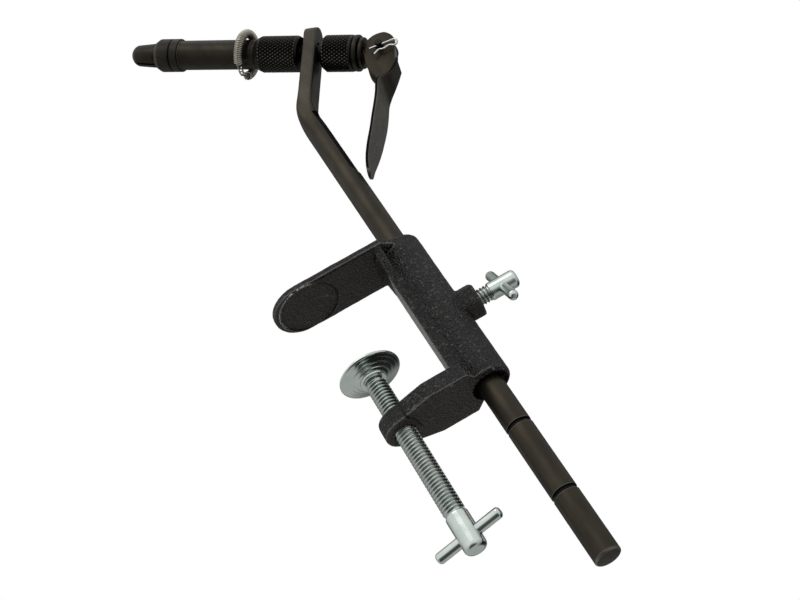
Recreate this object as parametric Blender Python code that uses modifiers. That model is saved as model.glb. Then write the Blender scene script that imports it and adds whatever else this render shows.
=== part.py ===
# Fly tying vise: a collet head tilts on a bent post, and a C clamp holds the post to a bench.
# The origin is on the flat seat under the clamp's upper jaw, on the clamp screw's axis.
# +Z runs up the post and +X from the clamp's throat to the post. All lengths are in metres.

import math

import bmesh
import bpy
from mathutils import Matrix, Vector

for old in list(bpy.data.objects):
    bpy.data.objects.remove(old, do_unlink=True)

# Gaps, cutting overrun and facets
STANDING_GAP = 0.0003
RUNNING_GAP = 0.0001
OVERRUN = 0.001
FUSE_DEPTH = 0.0001
MERGE_DISTANCE = 0.000001
FLAT_ANGLE = math.radians(0.1)
SMOOTH_ANGLE = math.radians(32)
MILLIMETRE = 0.001
FINE_SIDES = 36
MEDIUM_SIDES = 28
SMALL_SIDES = 16
ARC_STEPS = 8

# Clamp casting
JAW_THICKNESS = 0.003
JAW_HALF_WIDTH = 0.012
JAW_REACH = 0.0200
SEAT_RADIUS = 0.0118
SEAT_CENTRE_X = -0.006
SEAT_DEPTH = 0.0004
THROAT_DEPTH = 0.024
THROAT_HEIGHT = 0.0611
THROAT_FILLET = 0.003
WEB_HALF_WIDTH = 0.0064
FLARE_DROP = 0.014
FLARE_THICKNESS = 0.003
ARM_THICKNESS = 0.0075
ARM_HALF_WIDTH = 0.0115
ARM_NOSE_RADIUS = 0.0072
ARM_NOSE_HALF_TURN = math.radians(70)
ARM_NECK_X = 0.0125
ARM_CORNER_LENGTH = 0.0029
ARM_REAR_HALF_WIDTH = 0.0074
SPINE_RADIUS = 0.0083
SPINE_ROUNDING = 0.0012
CAST_ROUNDING = 0.0007
BOSS_RADIUS = 0.0071
BOSS_REACH = 0.0139
BOSS_SIDES = 6
BOSS_TWIST = math.radians(12)

# Post
POST_RADIUS = 0.0047625
POST_X = 0.0335
POST_BOTTOM = 0.1449
POST_END_CHAMFER = 0.0005
POST_GROOVE_DEPTH = 0.00035
POST_GROOVE_WIDTH = 0.0017
POST_GROOVE_SLOPE = 0.0001
POST_GROOVE_PLACES = (0.0889, 0.1187)
BEND_HEIGHT = 0.0878
BEND_RADIUS = 0.015
POST_LEAN = math.radians(28.8)
FORGED_RUN = 0.008
PLATE_HALF_WIDTH = 0.006
PLATE_THICKNESS = 0.0061
ROUND_SQUARENESS = 2
PLATE_SQUARENESS = 6
PLATE_ABOVE_PIVOT = 0.0130
PLATE_STEPS = 8
FLAT_DISTANCE = 0.00383
FLAT_TURN = math.radians(24)
FLAT_BOTTOM = 0.042
FLAT_RUNOUT = 0.006

# Head pivot and tilt
PIVOT_RUN = 0.0353
TILT_LIMIT = math.radians(10.3)

# Head pieces, along the barrel from the lever pin to the nose
LEVER_REACH = 0.031
BARREL_RADIUS = 0.0036
BARREL_BORE = 0.0024
FRONT_NUT_RADIUS = 0.00787
FRONT_NUT_LENGTH = 0.0196
FRONT_NUT_CHAMFER = 0.0022
FRONT_NUT_REAR_CHAMFER = 0.0008
REAR_NUT_RADIUS = 0.00787
REAR_NUT_LENGTH = 0.0141
REAR_NUT_CHAMFER = 0.0014
REAR_HUB_RADIUS = 0.00465
RING_RADIUS = 0.0077
RING_LENGTH = 0.0021
RING_ROUNDING = 0.0004
COLLAR_RADIUS = 0.0066
COLLAR_LENGTH = 0.0018
SLEEVE_RADIUS = 0.00635
SLEEVE_NECK_RADIUS = 0.00626
SLEEVE_NECK_LENGTH = 0.0022
SLEEVE_TUBE_LENGTH = 0.0331
SLEEVE_GROOVE_RADIUS = 0.0062
SLEEVE_GROOVE_WIDTH = 0.0007
SLEEVE_BORE = 0.0045
SLEEVE_END_WALL = 0.003
NOSE_COLLAR_RADIUS = 0.00715
NOSE_COLLAR_LENGTH = 0.0096
NOSE_CHAMFER_LENGTH = 0.002
NOSE_MOUTH_LIP = 0.0005
MOUTH_RADIUS = 0.00525
MOUTH_TAPER_SHARE = 0.25
BARREL_HEAD_LENGTH = 0.003

# Collet jaws and draw rod
JAW_LEG_RADIUS = 0.0041
NOSE_RADIUS = 0.00505
NOSE_TIP_RADIUS = 0.0034
NOSE_LENGTH = 0.0125
NOSE_ROUNDING = 0.0024
JAW_LEG_LENGTH = 0.0284
JAW_SLIT = 0.0011
JAW_RELIEF_DEPTH = 0.0018
JAW_RELIEF_LENGTH = 0.0194
CUT_BLOCK_SHARE = 3
ROD_RADIUS = 0.0021
ROD_HEAD_LENGTH = 0.0045
ROD_EYE_HALF_HEIGHT = 0.0044
ROD_EYE_TAIL = 0.0062
ROD_EYE_THICKNESS = 0.0041
ROD_FLAT_HALF_HEIGHT = 0.0019
ROD_NECK_FUSE = 0.0002
RETURN_SPRING_RADIUS = 0.0032
RETURN_SPRING_WIRE = 0.0004
RETURN_SPRING_TURNS = 4

# Cam lever, its pin and the clip through the pin
CAM_REACH = 0.0068
CAM_RISE = 0.0012
CAM_REAR_RADIUS = 0.0071
CAM_REAR_TURN = math.radians(168)
CHEEK_THICKNESS = 0.0014
LEAF_THICKNESS = 0.0015
CHEEK_FRONT_EDGE = (
    (-0.0223, -0.0037),
    (-0.0170, -0.0022),
    (-0.0153, -0.0004),
    (-0.0122, 0.0024),
    (-0.0090, 0.0042),
    (-0.0045, 0.0060),
)
CHEEK_REAR_EDGE = ((-0.0040, -0.0072), (-0.0068, -0.0080))
CHEEK_FOOT_DROP = 0.0245
LEAF_STATIONS = (
    (0.0082, 0.0082, 0.0036),
    (0.0120, 0.0078, 0.0042),
    (0.0160, 0.0070, 0.0052),
    (0.0190, 0.0058, 0.0068),
    (0.0220, 0.0048, 0.0087),
    (0.0250, 0.0050, 0.0094),
    (0.0300, 0.0059, 0.0091),
    (0.0360, 0.0066, 0.0090),
    (0.0420, 0.0070, 0.0086),
    (0.0480, 0.0074, 0.0079),
    (0.0540, 0.0075, 0.0067),
    (0.0590, 0.0077, 0.0050),
    (0.0630, 0.0083, 0.0033),
    (0.0652, 0.0089, 0.0018),
    (0.0660, 0.0091, 0.0008),
)
LEAF_STEPS_BETWEEN = 2
LEAF_COLUMNS = 6
PIN_RADIUS = 0.0016
PIN_NEAR_REACH = 0.0069
PIN_HEAD_RADIUS = 0.0024
PIN_HEAD_LENGTH = 0.0009
PIN_CLIP_PLACE = 0.0054
CLIP_WIRE = 0.00045
CLIP_LEG_ANGLE = math.radians(150)
CLIP_LEG_FRONT = 0.0042
CLIP_LEG_REAR = 0.0062
CLIP_BOW_RADIUS = 0.00105
CLIP_TAIL = 0.0035
CLIP_WAVES = 10

# Clip spring round the sleeve
HOLD_RING_RADIUS = 0.0092
HOLD_COIL_RADIUS = 0.00142
HOLD_WIRE = 0.00022
HOLD_TURNS = 49.25
HOLD_POINTS = 8
HOLD_HOOK_GAP = 0.0016
HOLD_HOOK_OVERLAP = 0.0005
HOLD_HOOK_POINTS = 7
HOLD_PLACE = 0.0037
HOLD_TILT = math.radians(7)
HOLD_JOIN_TURN = math.radians(212)
HOLD_SAG = 0.00065
HOLD_NEAR_SHIFT = 0.00058

# Clamp screw, pad and bar
SCREW_RADIUS = 0.0039
SCREW_END = 0.120
SCREW_HEAD_LENGTH = 0.015
SCREW_HEAD_RADIUS = 0.0041
SCREW_END_ROUNDING = 0.0012
SCREW_STUB_LENGTH = 0.0028
SCREW_STUB_RADIUS = 0.0026
BAR_RADIUS = 0.002
BAR_LENGTH = 0.0264
BAR_CHAMFER = 0.0007
BAR_RISE_FROM_END = 0.006
BAR_TURN = math.radians(-17.4)
PAD_RADIUS = 0.0117
PAD_TOP = 0.0394
PAD_RIM = 0.0009
PAD_DISH_DEPTH = 0.0024
PAD_STEPS = 4
PAD_STEP_SHARE = 0.35
PAD_HUB_RADIUS = 0.0054
PAD_SHELL = 0.0016

# Lock screw and its cross bar
LOCK_DROP = 0.0346
LOCK_RADIUS = 0.003175
LOCK_HEAD_RADIUS = 0.0034
LOCK_HEAD_LENGTH = 0.0115
LOCK_REACH = 0.0298
LOCK_ROUNDING = 0.0008
LOCK_BAR_LENGTH = 0.028
LOCK_BAR_RADIUS = 0.0019
LOCK_BAR_FROM_END = 0.0062
LOCK_BAR_TURN = math.radians(-31.5)

# Worked out places
PLATE_TAN = math.tan(TILT_LIMIT)
NUT_STANDOFF = PLATE_THICKNESS / 2 / math.cos(TILT_LIMIT) + FRONT_NUT_RADIUS * PLATE_TAN + STANDING_GAP
HUB_STANDOFF = PLATE_THICKNESS / 2 / math.cos(TILT_LIMIT) + REAR_HUB_RADIUS * PLATE_TAN + STANDING_GAP
HEAD_RISE = POST_LEAN + TILT_LIMIT
PIVOT = Vector((
    POST_X + PIVOT_RUN * math.sin(POST_LEAN),
    0,
    BEND_HEIGHT + PIVOT_RUN * math.cos(POST_LEAN),
))
HEAD_TURN = Matrix.Rotation(HEAD_RISE - math.pi / 2, 4, 'Y')
HEAD_PLACE = Matrix.Translation(PIVOT) @ HEAD_TURN
LEVER_PLACE = HEAD_PLACE @ Matrix.Translation((0, 0, -LEVER_REACH))

CAM_FACE = -LEVER_REACH + CAM_REACH + STANDING_GAP
COLLAR_FRONT = CAM_FACE + COLLAR_LENGTH
RING_REAR = COLLAR_FRONT + STANDING_GAP
RING_FRONT = RING_REAR + RING_LENGTH
REAR_NUT_REAR = RING_FRONT + STANDING_GAP
REAR_NUT_FRONT = REAR_NUT_REAR + REAR_NUT_LENGTH
FRONT_NUT_FRONT = NUT_STANDOFF + FRONT_NUT_LENGTH
SLEEVE_REAR = FRONT_NUT_FRONT + STANDING_GAP
SLEEVE_NECK_FRONT = SLEEVE_REAR + SLEEVE_NECK_LENGTH
SLEEVE_TUBE_FRONT = SLEEVE_NECK_FRONT + SLEEVE_TUBE_LENGTH
SLEEVE_GROOVE_FRONT = SLEEVE_TUBE_FRONT + SLEEVE_GROOVE_WIDTH
NOSE_CHAMFER_REAR = SLEEVE_GROOVE_FRONT + NOSE_COLLAR_LENGTH
SLEEVE_FRONT = NOSE_CHAMFER_REAR + NOSE_CHAMFER_LENGTH
MOUTH_REAR = SLEEVE_FRONT - (MOUTH_RADIUS - SLEEVE_BORE) / MOUTH_TAPER_SHARE
BARREL_REAR = CAM_FACE + STANDING_GAP
BARREL_STEP = SLEEVE_REAR + SLEEVE_END_WALL + STANDING_GAP
BARREL_FRONT = BARREL_STEP + BARREL_HEAD_LENGTH
JAW_ROOT = SLEEVE_FRONT - JAW_LEG_LENGTH
ROD_FRONT = JAW_ROOT - STANDING_GAP
ROD_STEP = ROD_FRONT - ROD_HEAD_LENGTH
JAW_TIP = SLEEVE_FRONT + NOSE_LENGTH
CHEEK_INSIDE = ROD_EYE_THICKNESS / 2 + STANDING_GAP
CHEEK_OUTSIDE = CHEEK_INSIDE + CHEEK_THICKNESS
ARM_BOTTOM = THROAT_HEIGHT + ARM_THICKNESS
BEND_START = BEND_HEIGHT - BEND_RADIUS * math.tan(POST_LEAN / 2)
BEND_RUN = BEND_RADIUS * POST_LEAN
PLATE_RUN = PIVOT_RUN - BEND_RADIUS * math.tan(POST_LEAN / 2) + BEND_RUN
SCREW_TOP = PAD_TOP + PAD_SHELL + SCREW_STUB_LENGTH + STANDING_GAP


# Collections
def new_collection(name):
    collection = bpy.data.collections.new(name)
    bpy.context.scene.collection.children.link(collection)
    return collection


PARTS = new_collection("fly_tying_vise")
CUTTERS = new_collection("cutters")


# Materials
def metal(name, colour, roughness, metallic):
    material = bpy.data.materials.new(name)
    material.use_nodes = True
    shader = material.node_tree.nodes["Principled BSDF"]
    shader.inputs["Base Color"].default_value = (*colour, 1)
    shader.inputs["Roughness"].default_value = roughness
    shader.inputs["Metallic"].default_value = metallic
    return material


CAST_ENAMEL = metal("granular_black_enamel", (0.022, 0.022, 0.021), 0.55, 0.2)
BLACK_OXIDE = metal("black_oxide_steel", (0.035, 0.030, 0.026), 0.38, 0.8)
BRIGHT_ZINC = metal("bright_zinc_plate", (0.62, 0.65, 0.64), 0.25, 1.0)
SPRING_STEEL = metal("spring_steel_wire", (0.50, 0.50, 0.50), 0.3, 1.0)


# Shape makers
def add_object(name, data, material, collection=PARTS):
    item = bpy.data.objects.new(name, data)
    collection.objects.link(item)
    if material is not None:
        item.data.materials.clear()
        item.data.materials.append(material)
    return item


def boolean(target, tools, operation):
    """Join or cut with a group of hidden tools in one exact step."""
    group = bpy.data.collections.new(target.name + " " + operation.lower())
    CUTTERS.children.link(group)
    for tool in tools:
        for collection in list(tool.users_collection):
            collection.objects.unlink(tool)
        group.objects.link(tool)
        tool.hide_render = True
        tool.display_type = 'WIRE'
    step = target.modifiers.new(operation.title(), 'BOOLEAN')
    step.operation = operation
    step.solver = 'EXACT'
    step.operand_type = 'COLLECTION'
    step.collection = group


def cut(target, *tools):
    boolean(target, tools, 'DIFFERENCE')


def join(target, *tools):
    boolean(target, tools, 'UNION')


def round_edges(item, width, angle=math.radians(40), segments=2):
    step = item.modifiers.new("Rounded edges", 'BEVEL')
    step.width = width
    step.segments = segments
    step.limit_method = 'ANGLE'
    step.angle_limit = angle


def turned(name, outline, material, sides=FINE_SIDES):
    """Turn an outline of (radius, height) pairs, top to bottom, about the local Z axis.

    An outline that starts on the axis gives a solid, and any other a ring whose outline closes.
    """
    mesh = bpy.data.meshes.new(name)
    count = len(outline)
    edges = [(index, index + 1) for index in range(count - 1)]
    if outline[0][0] > 0:
        edges.append((count - 1, 0))
    mesh.from_pydata([(radius, 0, height) for radius, height in outline], edges, [])
    item = add_object(name, mesh, material)
    step = item.modifiers.new("Turn", 'SCREW')
    step.steps = sides
    step.render_steps = sides
    step.use_merge_vertices = True
    step.merge_threshold = MERGE_DISTANCE
    step.use_smooth_shade = True
    return item


def mesh_from_curve(curve_item, material, whole_caps=False):
    """Make a mesh object of a curve, with its caps welded, and remove the curve.

    Whole caps are left as one face each, which bevels evenly.
    """
    bpy.context.view_layer.update()
    graph = bpy.context.evaluated_depsgraph_get()
    mesh = bpy.data.meshes.new_from_object(curve_item.evaluated_get(graph))
    shape = bmesh.new()
    shape.from_mesh(mesh)
    bmesh.ops.remove_doubles(shape, verts=shape.verts, dist=MERGE_DISTANCE)
    if whole_caps:
        bmesh.ops.dissolve_limit(shape, angle_limit=FLAT_ANGLE, verts=shape.verts, edges=shape.edges)
    bmesh.ops.recalc_face_normals(shape, faces=shape.faces)
    shape.to_mesh(mesh)
    shape.free()
    mesh.shade_smooth()
    mesh.set_sharp_from_angle(angle=SMOOTH_ANGLE)
    name = curve_item.name
    place = curve_item.matrix_world.copy()
    bpy.data.objects.remove(curve_item, do_unlink=True)
    mesh.name = name
    item = add_object(name, mesh, material)
    item.matrix_world = place
    return item


def flat_solid(name, outlines, thickness, material, rounding=0):
    """Extrude closed outlines in the local XY plane evenly to both sides, with rounded rims."""
    curve = bpy.data.curves.new(name, 'CURVE')
    curve.dimensions = '2D'
    curve.fill_mode = 'BOTH'
    curve.extrude = thickness / 2 - rounding
    curve.bevel_depth = rounding
    curve.bevel_resolution = 1
    curve.offset = -rounding
    for outline in outlines:
        spline = curve.splines.new('POLY')
        spline.points.add(len(outline) - 1)
        for point, place in zip(spline.points, outline):
            point.co = (place[0], place[1], 0, 1)
        spline.use_cyclic_u = True
    return mesh_from_curve(add_object(name, curve, None), material, len(outlines) == 1)


def wire(name, points, radius, resolution):
    """Lay a round wire of a given radius through points, as a curve."""
    curve = bpy.data.curves.new(name, 'CURVE')
    curve.dimensions = '3D'
    curve.bevel_depth = radius
    curve.bevel_resolution = resolution
    curve.use_fill_caps = True
    spline = curve.splines.new('POLY')
    spline.points.add(len(points) - 1)
    for point, place in zip(spline.points, points):
        point.co = (*place, 1)
    return add_object(name, curve, None)


def arc(centre, radius, start, end, steps=ARC_STEPS):
    """Points on an arc, both ends included, with angles in radians."""
    points = []
    for index in range(steps + 1):
        angle = start + (end - start) * index / steps
        points.append((centre[0] + radius * math.cos(angle), centre[1] + radius * math.sin(angle)))
    return points


def block(name, size, centre):
    """A plain box as a cutting tool."""
    mesh = bpy.data.meshes.new(name)
    shape = bmesh.new()
    bmesh.ops.create_cube(shape, size=1)
    bmesh.ops.scale(shape, vec=size, verts=shape.verts)
    bmesh.ops.translate(shape, vec=centre, verts=shape.verts)
    shape.to_mesh(mesh)
    shape.free()
    return add_object(name, mesh, None)


def rod(name, radius, top, bottom, sides=MEDIUM_SIDES, material=None):
    """A plain round bar along the local Z axis."""
    return turned(name, [(0, top), (radius, top), (radius, bottom), (0, bottom)], material, sides)


def loft(name, rings, material):
    """Skin a list of rings with the same number of points, and cap both ends."""
    mesh = bpy.data.meshes.new(name)
    shape = bmesh.new()
    loops = [[shape.verts.new(point) for point in ring] for ring in rings]
    for lower, upper in zip(loops, loops[1:]):
        for index in range(len(lower)):
            after = (index + 1) % len(lower)
            shape.faces.new((lower[index], lower[after], upper[after], upper[index]))
    shape.faces.new(list(reversed(loops[0])))
    shape.faces.new(loops[-1])
    bmesh.ops.recalc_face_normals(shape, faces=shape.faces)
    shape.to_mesh(mesh)
    shape.free()
    mesh.shade_smooth()
    mesh.set_sharp_from_angle(angle=SMOOTH_ANGLE)
    return add_object(name, mesh, material)


ALONG_X = Matrix.Rotation(math.pi / 2, 4, 'Y')
FLAT_IN_XZ = Matrix.Rotation(math.pi / 2, 4, 'X')
FLAT_IN_YZ = Matrix.Rotation(math.pi / 2, 4, 'Z') @ Matrix.Rotation(math.pi / 2, 4, 'X')


# Clamp casting
def throat_web():
    """The upright web in profile, with the fillets that run into the jaw and the arm."""
    top = (THROAT_DEPTH - THROAT_FILLET, -THROAT_FILLET - SEAT_DEPTH + FUSE_DEPTH)
    bottom = (THROAT_DEPTH - THROAT_FILLET, -THROAT_HEIGHT + THROAT_FILLET - FUSE_DEPTH)
    outline = [(POST_X, JAW_THICKNESS / 2), (THROAT_DEPTH - THROAT_FILLET, JAW_THICKNESS / 2)]
    outline += arc(top, THROAT_FILLET, math.pi / 2, 0)
    outline += arc(bottom, THROAT_FILLET, 0, -math.pi / 2)
    outline += [
        (THROAT_DEPTH - THROAT_FILLET, -ARM_BOTTOM + ARM_THICKNESS / 2),
        (POST_X, -ARM_BOTTOM + ARM_THICKNESS / 2),
    ]
    item = flat_solid("throat_web", [outline], 2 * WEB_HALF_WIDTH, None)
    item.matrix_world = FLAT_IN_XZ
    return item


def jaw_flare():
    """The web's root under the upper jaw, where it spreads to the jaw's full width."""
    outline = [
        (-JAW_HALF_WIDTH + STANDING_GAP, JAW_THICKNESS / 2),
        (-JAW_HALF_WIDTH + STANDING_GAP, -THROAT_FILLET / 2),
        (-WEB_HALF_WIDTH + STANDING_GAP, -FLARE_DROP),
        (WEB_HALF_WIDTH - STANDING_GAP, -FLARE_DROP),
        (JAW_HALF_WIDTH - STANDING_GAP, -THROAT_FILLET / 2),
        (JAW_HALF_WIDTH - STANDING_GAP, JAW_THICKNESS / 2),
    ]
    item = flat_solid("jaw_flare", [outline], FLARE_THICKNESS, None)
    centre_x = THROAT_DEPTH + FLARE_THICKNESS / 2 + STANDING_GAP / 2
    item.matrix_world = Matrix.Translation((centre_x, 0, 0)) @ FLAT_IN_YZ
    return item


def upper_jaw():
    centre = (-JAW_REACH + JAW_HALF_WIDTH, 0)
    root_x = THROAT_DEPTH + FLARE_THICKNESS + STANDING_GAP
    outline = arc(centre, JAW_HALF_WIDTH, math.pi / 2, 3 * math.pi / 2, 2 * ARC_STEPS)
    outline += [(root_x, -JAW_HALF_WIDTH), (POST_X, -SPINE_RADIUS + SPINE_ROUNDING)]
    outline += [(POST_X, SPINE_RADIUS - SPINE_ROUNDING), (root_x, JAW_HALF_WIDTH)]
    item = flat_solid("upper_jaw", [outline], JAW_THICKNESS + SEAT_DEPTH, None, CAST_ROUNDING)
    item.location.z = (JAW_THICKNESS - SEAT_DEPTH) / 2
    return item


def lower_arm():
    shoulder_x = THROAT_DEPTH + ARM_CORNER_LENGTH
    corner_x = shoulder_x + ARM_CORNER_LENGTH
    corner_y = ARM_REAR_HALF_WIDTH
    first = math.pi - ARM_NOSE_HALF_TURN
    outline = arc((0, 0), ARM_NOSE_RADIUS, first, 2 * math.pi - first, 2 * ARC_STEPS)
    outline += [(ARM_NECK_X, -ARM_HALF_WIDTH), (shoulder_x, -ARM_HALF_WIDTH), (corner_x, -corner_y)]
    outline += [(POST_X, -corner_y), (POST_X, corner_y)]
    outline += [(corner_x, corner_y), (shoulder_x, ARM_HALF_WIDTH), (ARM_NECK_X, ARM_HALF_WIDTH)]
    item = flat_solid("lower_arm", [outline], ARM_THICKNESS, None, CAST_ROUNDING)
    item.location.z = -THROAT_HEIGHT - ARM_THICKNESS / 2
    return item


def clamp_body():
    top = JAW_THICKNESS + STANDING_GAP
    bottom = -ARM_BOTTOM - STANDING_GAP
    outer = SPINE_RADIUS - SPINE_ROUNDING
    body = turned("clamp_body", [
        (0, top),
        (outer, top),
        (SPINE_RADIUS, top - SPINE_ROUNDING),
        (SPINE_RADIUS, bottom + SPINE_ROUNDING),
        (outer, bottom),
        (0, bottom),
    ], CAST_ENAMEL, FINE_SIDES)
    body.location.x = POST_X
    boss = rod("lock_boss", BOSS_RADIUS, BOSS_REACH, 0, BOSS_SIDES)
    boss.matrix_world = (
        Matrix.Translation((POST_X, 0, -LOCK_DROP)) @ ALONG_X @ Matrix.Rotation(BOSS_TWIST, 4, 'Z')
    )
    round_edges(boss, CAST_ROUNDING)
    join(body, upper_jaw(), lower_arm(), throat_web(), jaw_flare(), boss)

    bore = rod("post_bore", POST_RADIUS + RUNNING_GAP, top + OVERRUN, bottom - OVERRUN, FINE_SIDES)
    bore.location.x = POST_X
    screw_hole = rod(
        "clamp_screw_hole", SCREW_RADIUS + RUNNING_GAP, -THROAT_HEIGHT + OVERRUN, -ARM_BOTTOM - OVERRUN
    )
    lock_hole = rod("lock_screw_hole", LOCK_RADIUS + RUNNING_GAP, BOSS_REACH + OVERRUN, 0)
    lock_hole.matrix_world = Matrix.Translation((POST_X, 0, -LOCK_DROP)) @ ALONG_X
    seat = rod("jaw_seat", SEAT_RADIUS, 0, -OVERRUN, FINE_SIDES)
    seat.location.x = SEAT_CENTRE_X
    cut(body, seat, screw_hole, bore, lock_hole)
    return body


# Clamp screw with its pad and bar
def clamp_screw():
    head_top = -SCREW_END + SCREW_HEAD_LENGTH
    screw = turned("clamp_screw", [
        (0, -SCREW_TOP + SCREW_STUB_LENGTH),
        (SCREW_STUB_RADIUS, -SCREW_TOP + SCREW_STUB_LENGTH),
        (SCREW_STUB_RADIUS, -SCREW_TOP),
        (SCREW_RADIUS, -SCREW_TOP),
        (SCREW_RADIUS, head_top),
        (SCREW_HEAD_RADIUS, head_top - STANDING_GAP),
        (SCREW_HEAD_RADIUS, -SCREW_END + SCREW_END_ROUNDING),
        (SCREW_HEAD_RADIUS - SCREW_END_ROUNDING, -SCREW_END),
        (0, -SCREW_END),
    ], BRIGHT_ZINC, MEDIUM_SIDES)
    reach = SCREW_HEAD_RADIUS + OVERRUN
    hole = rod("screw_bar_hole", BAR_RADIUS + RUNNING_GAP, reach, -reach, SMALL_SIDES)
    hole.matrix_world = bar_place()
    cut(screw, hole)
    return screw


def bar_place():
    height = -SCREW_END + BAR_RISE_FROM_END
    return Matrix.Translation((0, 0, height)) @ Matrix.Rotation(BAR_TURN, 4, 'Z') @ ALONG_X


def cross_bar(name, length, radius):
    half = length / 2
    return turned(name, [
        (0, half),
        (radius - BAR_CHAMFER, half),
        (radius, half - BAR_CHAMFER),
        (radius, -half + BAR_CHAMFER),
        (radius - BAR_CHAMFER, -half),
        (0, -half),
    ], BRIGHT_ZINC, SMALL_SIDES)


def clamp_pad():
    """A dished pad whose underside steps down in turned rings to a hub round the screw."""
    rim_bottom = -PAD_TOP - PAD_RIM
    ease = PAD_RIM / 2
    outline = [(0, -PAD_TOP), (PAD_RADIUS - ease, -PAD_TOP), (PAD_RADIUS, -PAD_TOP - ease)]
    ring_width = (PAD_RADIUS - PAD_HUB_RADIUS) / PAD_STEPS
    ring_drop = PAD_DISH_DEPTH / PAD_STEPS
    for index in range(PAD_STEPS):
        outer = PAD_RADIUS - index * ring_width
        height = rim_bottom - index * ring_drop
        outline.append((outer, height))
        outline.append((outer - ring_width, height - ring_drop * (1 - PAD_STEP_SHARE)))
    bore = SCREW_STUB_RADIUS + RUNNING_GAP
    outline += [(PAD_HUB_RADIUS, -SCREW_TOP + STANDING_GAP), (bore, -SCREW_TOP + STANDING_GAP)]
    outline += [(bore, -PAD_TOP - PAD_SHELL), (0, -PAD_TOP - PAD_SHELL)]
    return turned("clamp_pad", outline, BRIGHT_ZINC, FINE_SIDES)


# Lock screw with its cross bar
def lock_bar_place():
    middle_x = POST_X + LOCK_REACH - LOCK_BAR_FROM_END
    return Matrix.Translation((middle_x, 0, -LOCK_DROP)) @ Matrix.Rotation(LOCK_BAR_TURN, 4, 'X')


def lock_screw():
    tip = POST_RADIUS + STANDING_GAP
    head = LOCK_REACH - LOCK_HEAD_LENGTH
    screw = turned("lock_screw", [
        (0, LOCK_REACH),
        (LOCK_HEAD_RADIUS - LOCK_ROUNDING, LOCK_REACH),
        (LOCK_HEAD_RADIUS, LOCK_REACH - LOCK_ROUNDING),
        (LOCK_HEAD_RADIUS, head + STANDING_GAP),
        (LOCK_RADIUS, head),
        (LOCK_RADIUS, tip + LOCK_ROUNDING),
        (LOCK_RADIUS - LOCK_ROUNDING, tip),
        (0, tip),
    ], BRIGHT_ZINC, MEDIUM_SIDES)
    screw.matrix_world = Matrix.Translation((POST_X, 0, -LOCK_DROP)) @ ALONG_X
    reach = LOCK_HEAD_RADIUS + OVERRUN
    hole = rod("lock_bar_hole", LOCK_BAR_RADIUS + RUNNING_GAP, reach, -reach, SMALL_SIDES)
    hole.matrix_world = lock_bar_place()
    cut(screw, hole)
    return screw


# Post
def section(centre, lean, half_width, half_thickness, squareness):
    """A ring of points across the post, from a circle at squareness 2 to a near rectangle."""
    across = Vector((math.cos(lean), 0, -math.sin(lean)))
    points = []
    for index in range(MEDIUM_SIDES):
        angle = 2 * math.pi * index / MEDIUM_SIDES
        cosine = math.copysign(abs(math.cos(angle)) ** (2 / squareness), math.cos(angle))
        sine = math.copysign(abs(math.sin(angle)) ** (2 / squareness), math.sin(angle))
        points.append(centre + across * (half_thickness * cosine) + Vector((0, half_width * sine, 0)))
    return points


def post_line(run):
    """The post's centre and lean at a run above the bend's start, negative below it."""
    turn = min(max(run / BEND_RADIUS, 0), POST_LEAN)
    centre = Vector((
        POST_X + BEND_RADIUS * (1 - math.cos(turn)),
        0,
        BEND_START + BEND_RADIUS * math.sin(turn) + min(run, 0),
    ))
    beyond = max(run - BEND_RUN, 0)
    return centre + Vector((math.sin(turn), 0, math.cos(turn))) * beyond, turn


def post_rings():
    """Rings up the post: the grooved bar, the forged bend and the plate with its round top."""
    rings = []
    groove_radius = POST_RADIUS - POST_GROOVE_DEPTH
    stations = [(-POST_BOTTOM, POST_RADIUS - POST_END_CHAMFER)]
    stations.append((-POST_BOTTOM + POST_END_CHAMFER, POST_RADIUS))
    for place in sorted(POST_GROOVE_PLACES, reverse=True):
        low = -place - POST_GROOVE_WIDTH / 2
        high = -place + POST_GROOVE_WIDTH / 2
        stations += [(low, POST_RADIUS), (low + POST_GROOVE_SLOPE, groove_radius)]
        stations += [(high - POST_GROOVE_SLOPE, groove_radius), (high, POST_RADIUS)]
    for height, radius in stations:
        rings.append(section(Vector((POST_X, 0, height)), 0, radius, radius, ROUND_SQUARENESS))

    for index in range(PLATE_STEPS + 1):
        share = index / PLATE_STEPS
        run = -FORGED_RUN + (BEND_RUN + 2 * FORGED_RUN) * share
        blend = share * share * (3 - 2 * share)
        centre, lean = post_line(run)
        width = POST_RADIUS + (PLATE_HALF_WIDTH - POST_RADIUS) * blend
        thickness = POST_RADIUS + (PLATE_THICKNESS / 2 - POST_RADIUS) * blend
        squareness = ROUND_SQUARENESS + (PLATE_SQUARENESS - ROUND_SQUARENESS) * blend
        rings.append(section(centre, lean, width, thickness, squareness))
    round_start = PLATE_RUN + PLATE_ABOVE_PIVOT - PLATE_HALF_WIDTH
    for index in range(PLATE_STEPS + 1):
        angle = math.pi / 2 * index / (PLATE_STEPS + 1)
        centre, lean = post_line(round_start + PLATE_HALF_WIDTH * math.sin(angle))
        width = PLATE_HALF_WIDTH * math.cos(angle)
        rings.append(section(centre, lean, width, PLATE_THICKNESS / 2, PLATE_SQUARENESS))
    return rings


def barrel_slot():
    """The slot through the plate, long enough for the barrel to tilt both ways."""
    half_width = BARREL_RADIUS + STANDING_GAP
    spread = PLATE_THICKNESS / 2 * PLATE_TAN + BARREL_RADIUS / math.cos(TILT_LIMIT) - BARREL_RADIUS
    outline = arc((spread, 0), half_width, -math.pi / 2, math.pi / 2)
    outline += arc((-spread, 0), half_width, math.pi / 2, 3 * math.pi / 2)
    item = flat_solid("barrel_slot", [outline], PLATE_THICKNESS + 2 * OVERRUN, None)
    item.matrix_world = Matrix.Translation(PIVOT) @ Matrix.Rotation(POST_LEAN - math.pi / 2, 4, 'Y')
    return item


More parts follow.
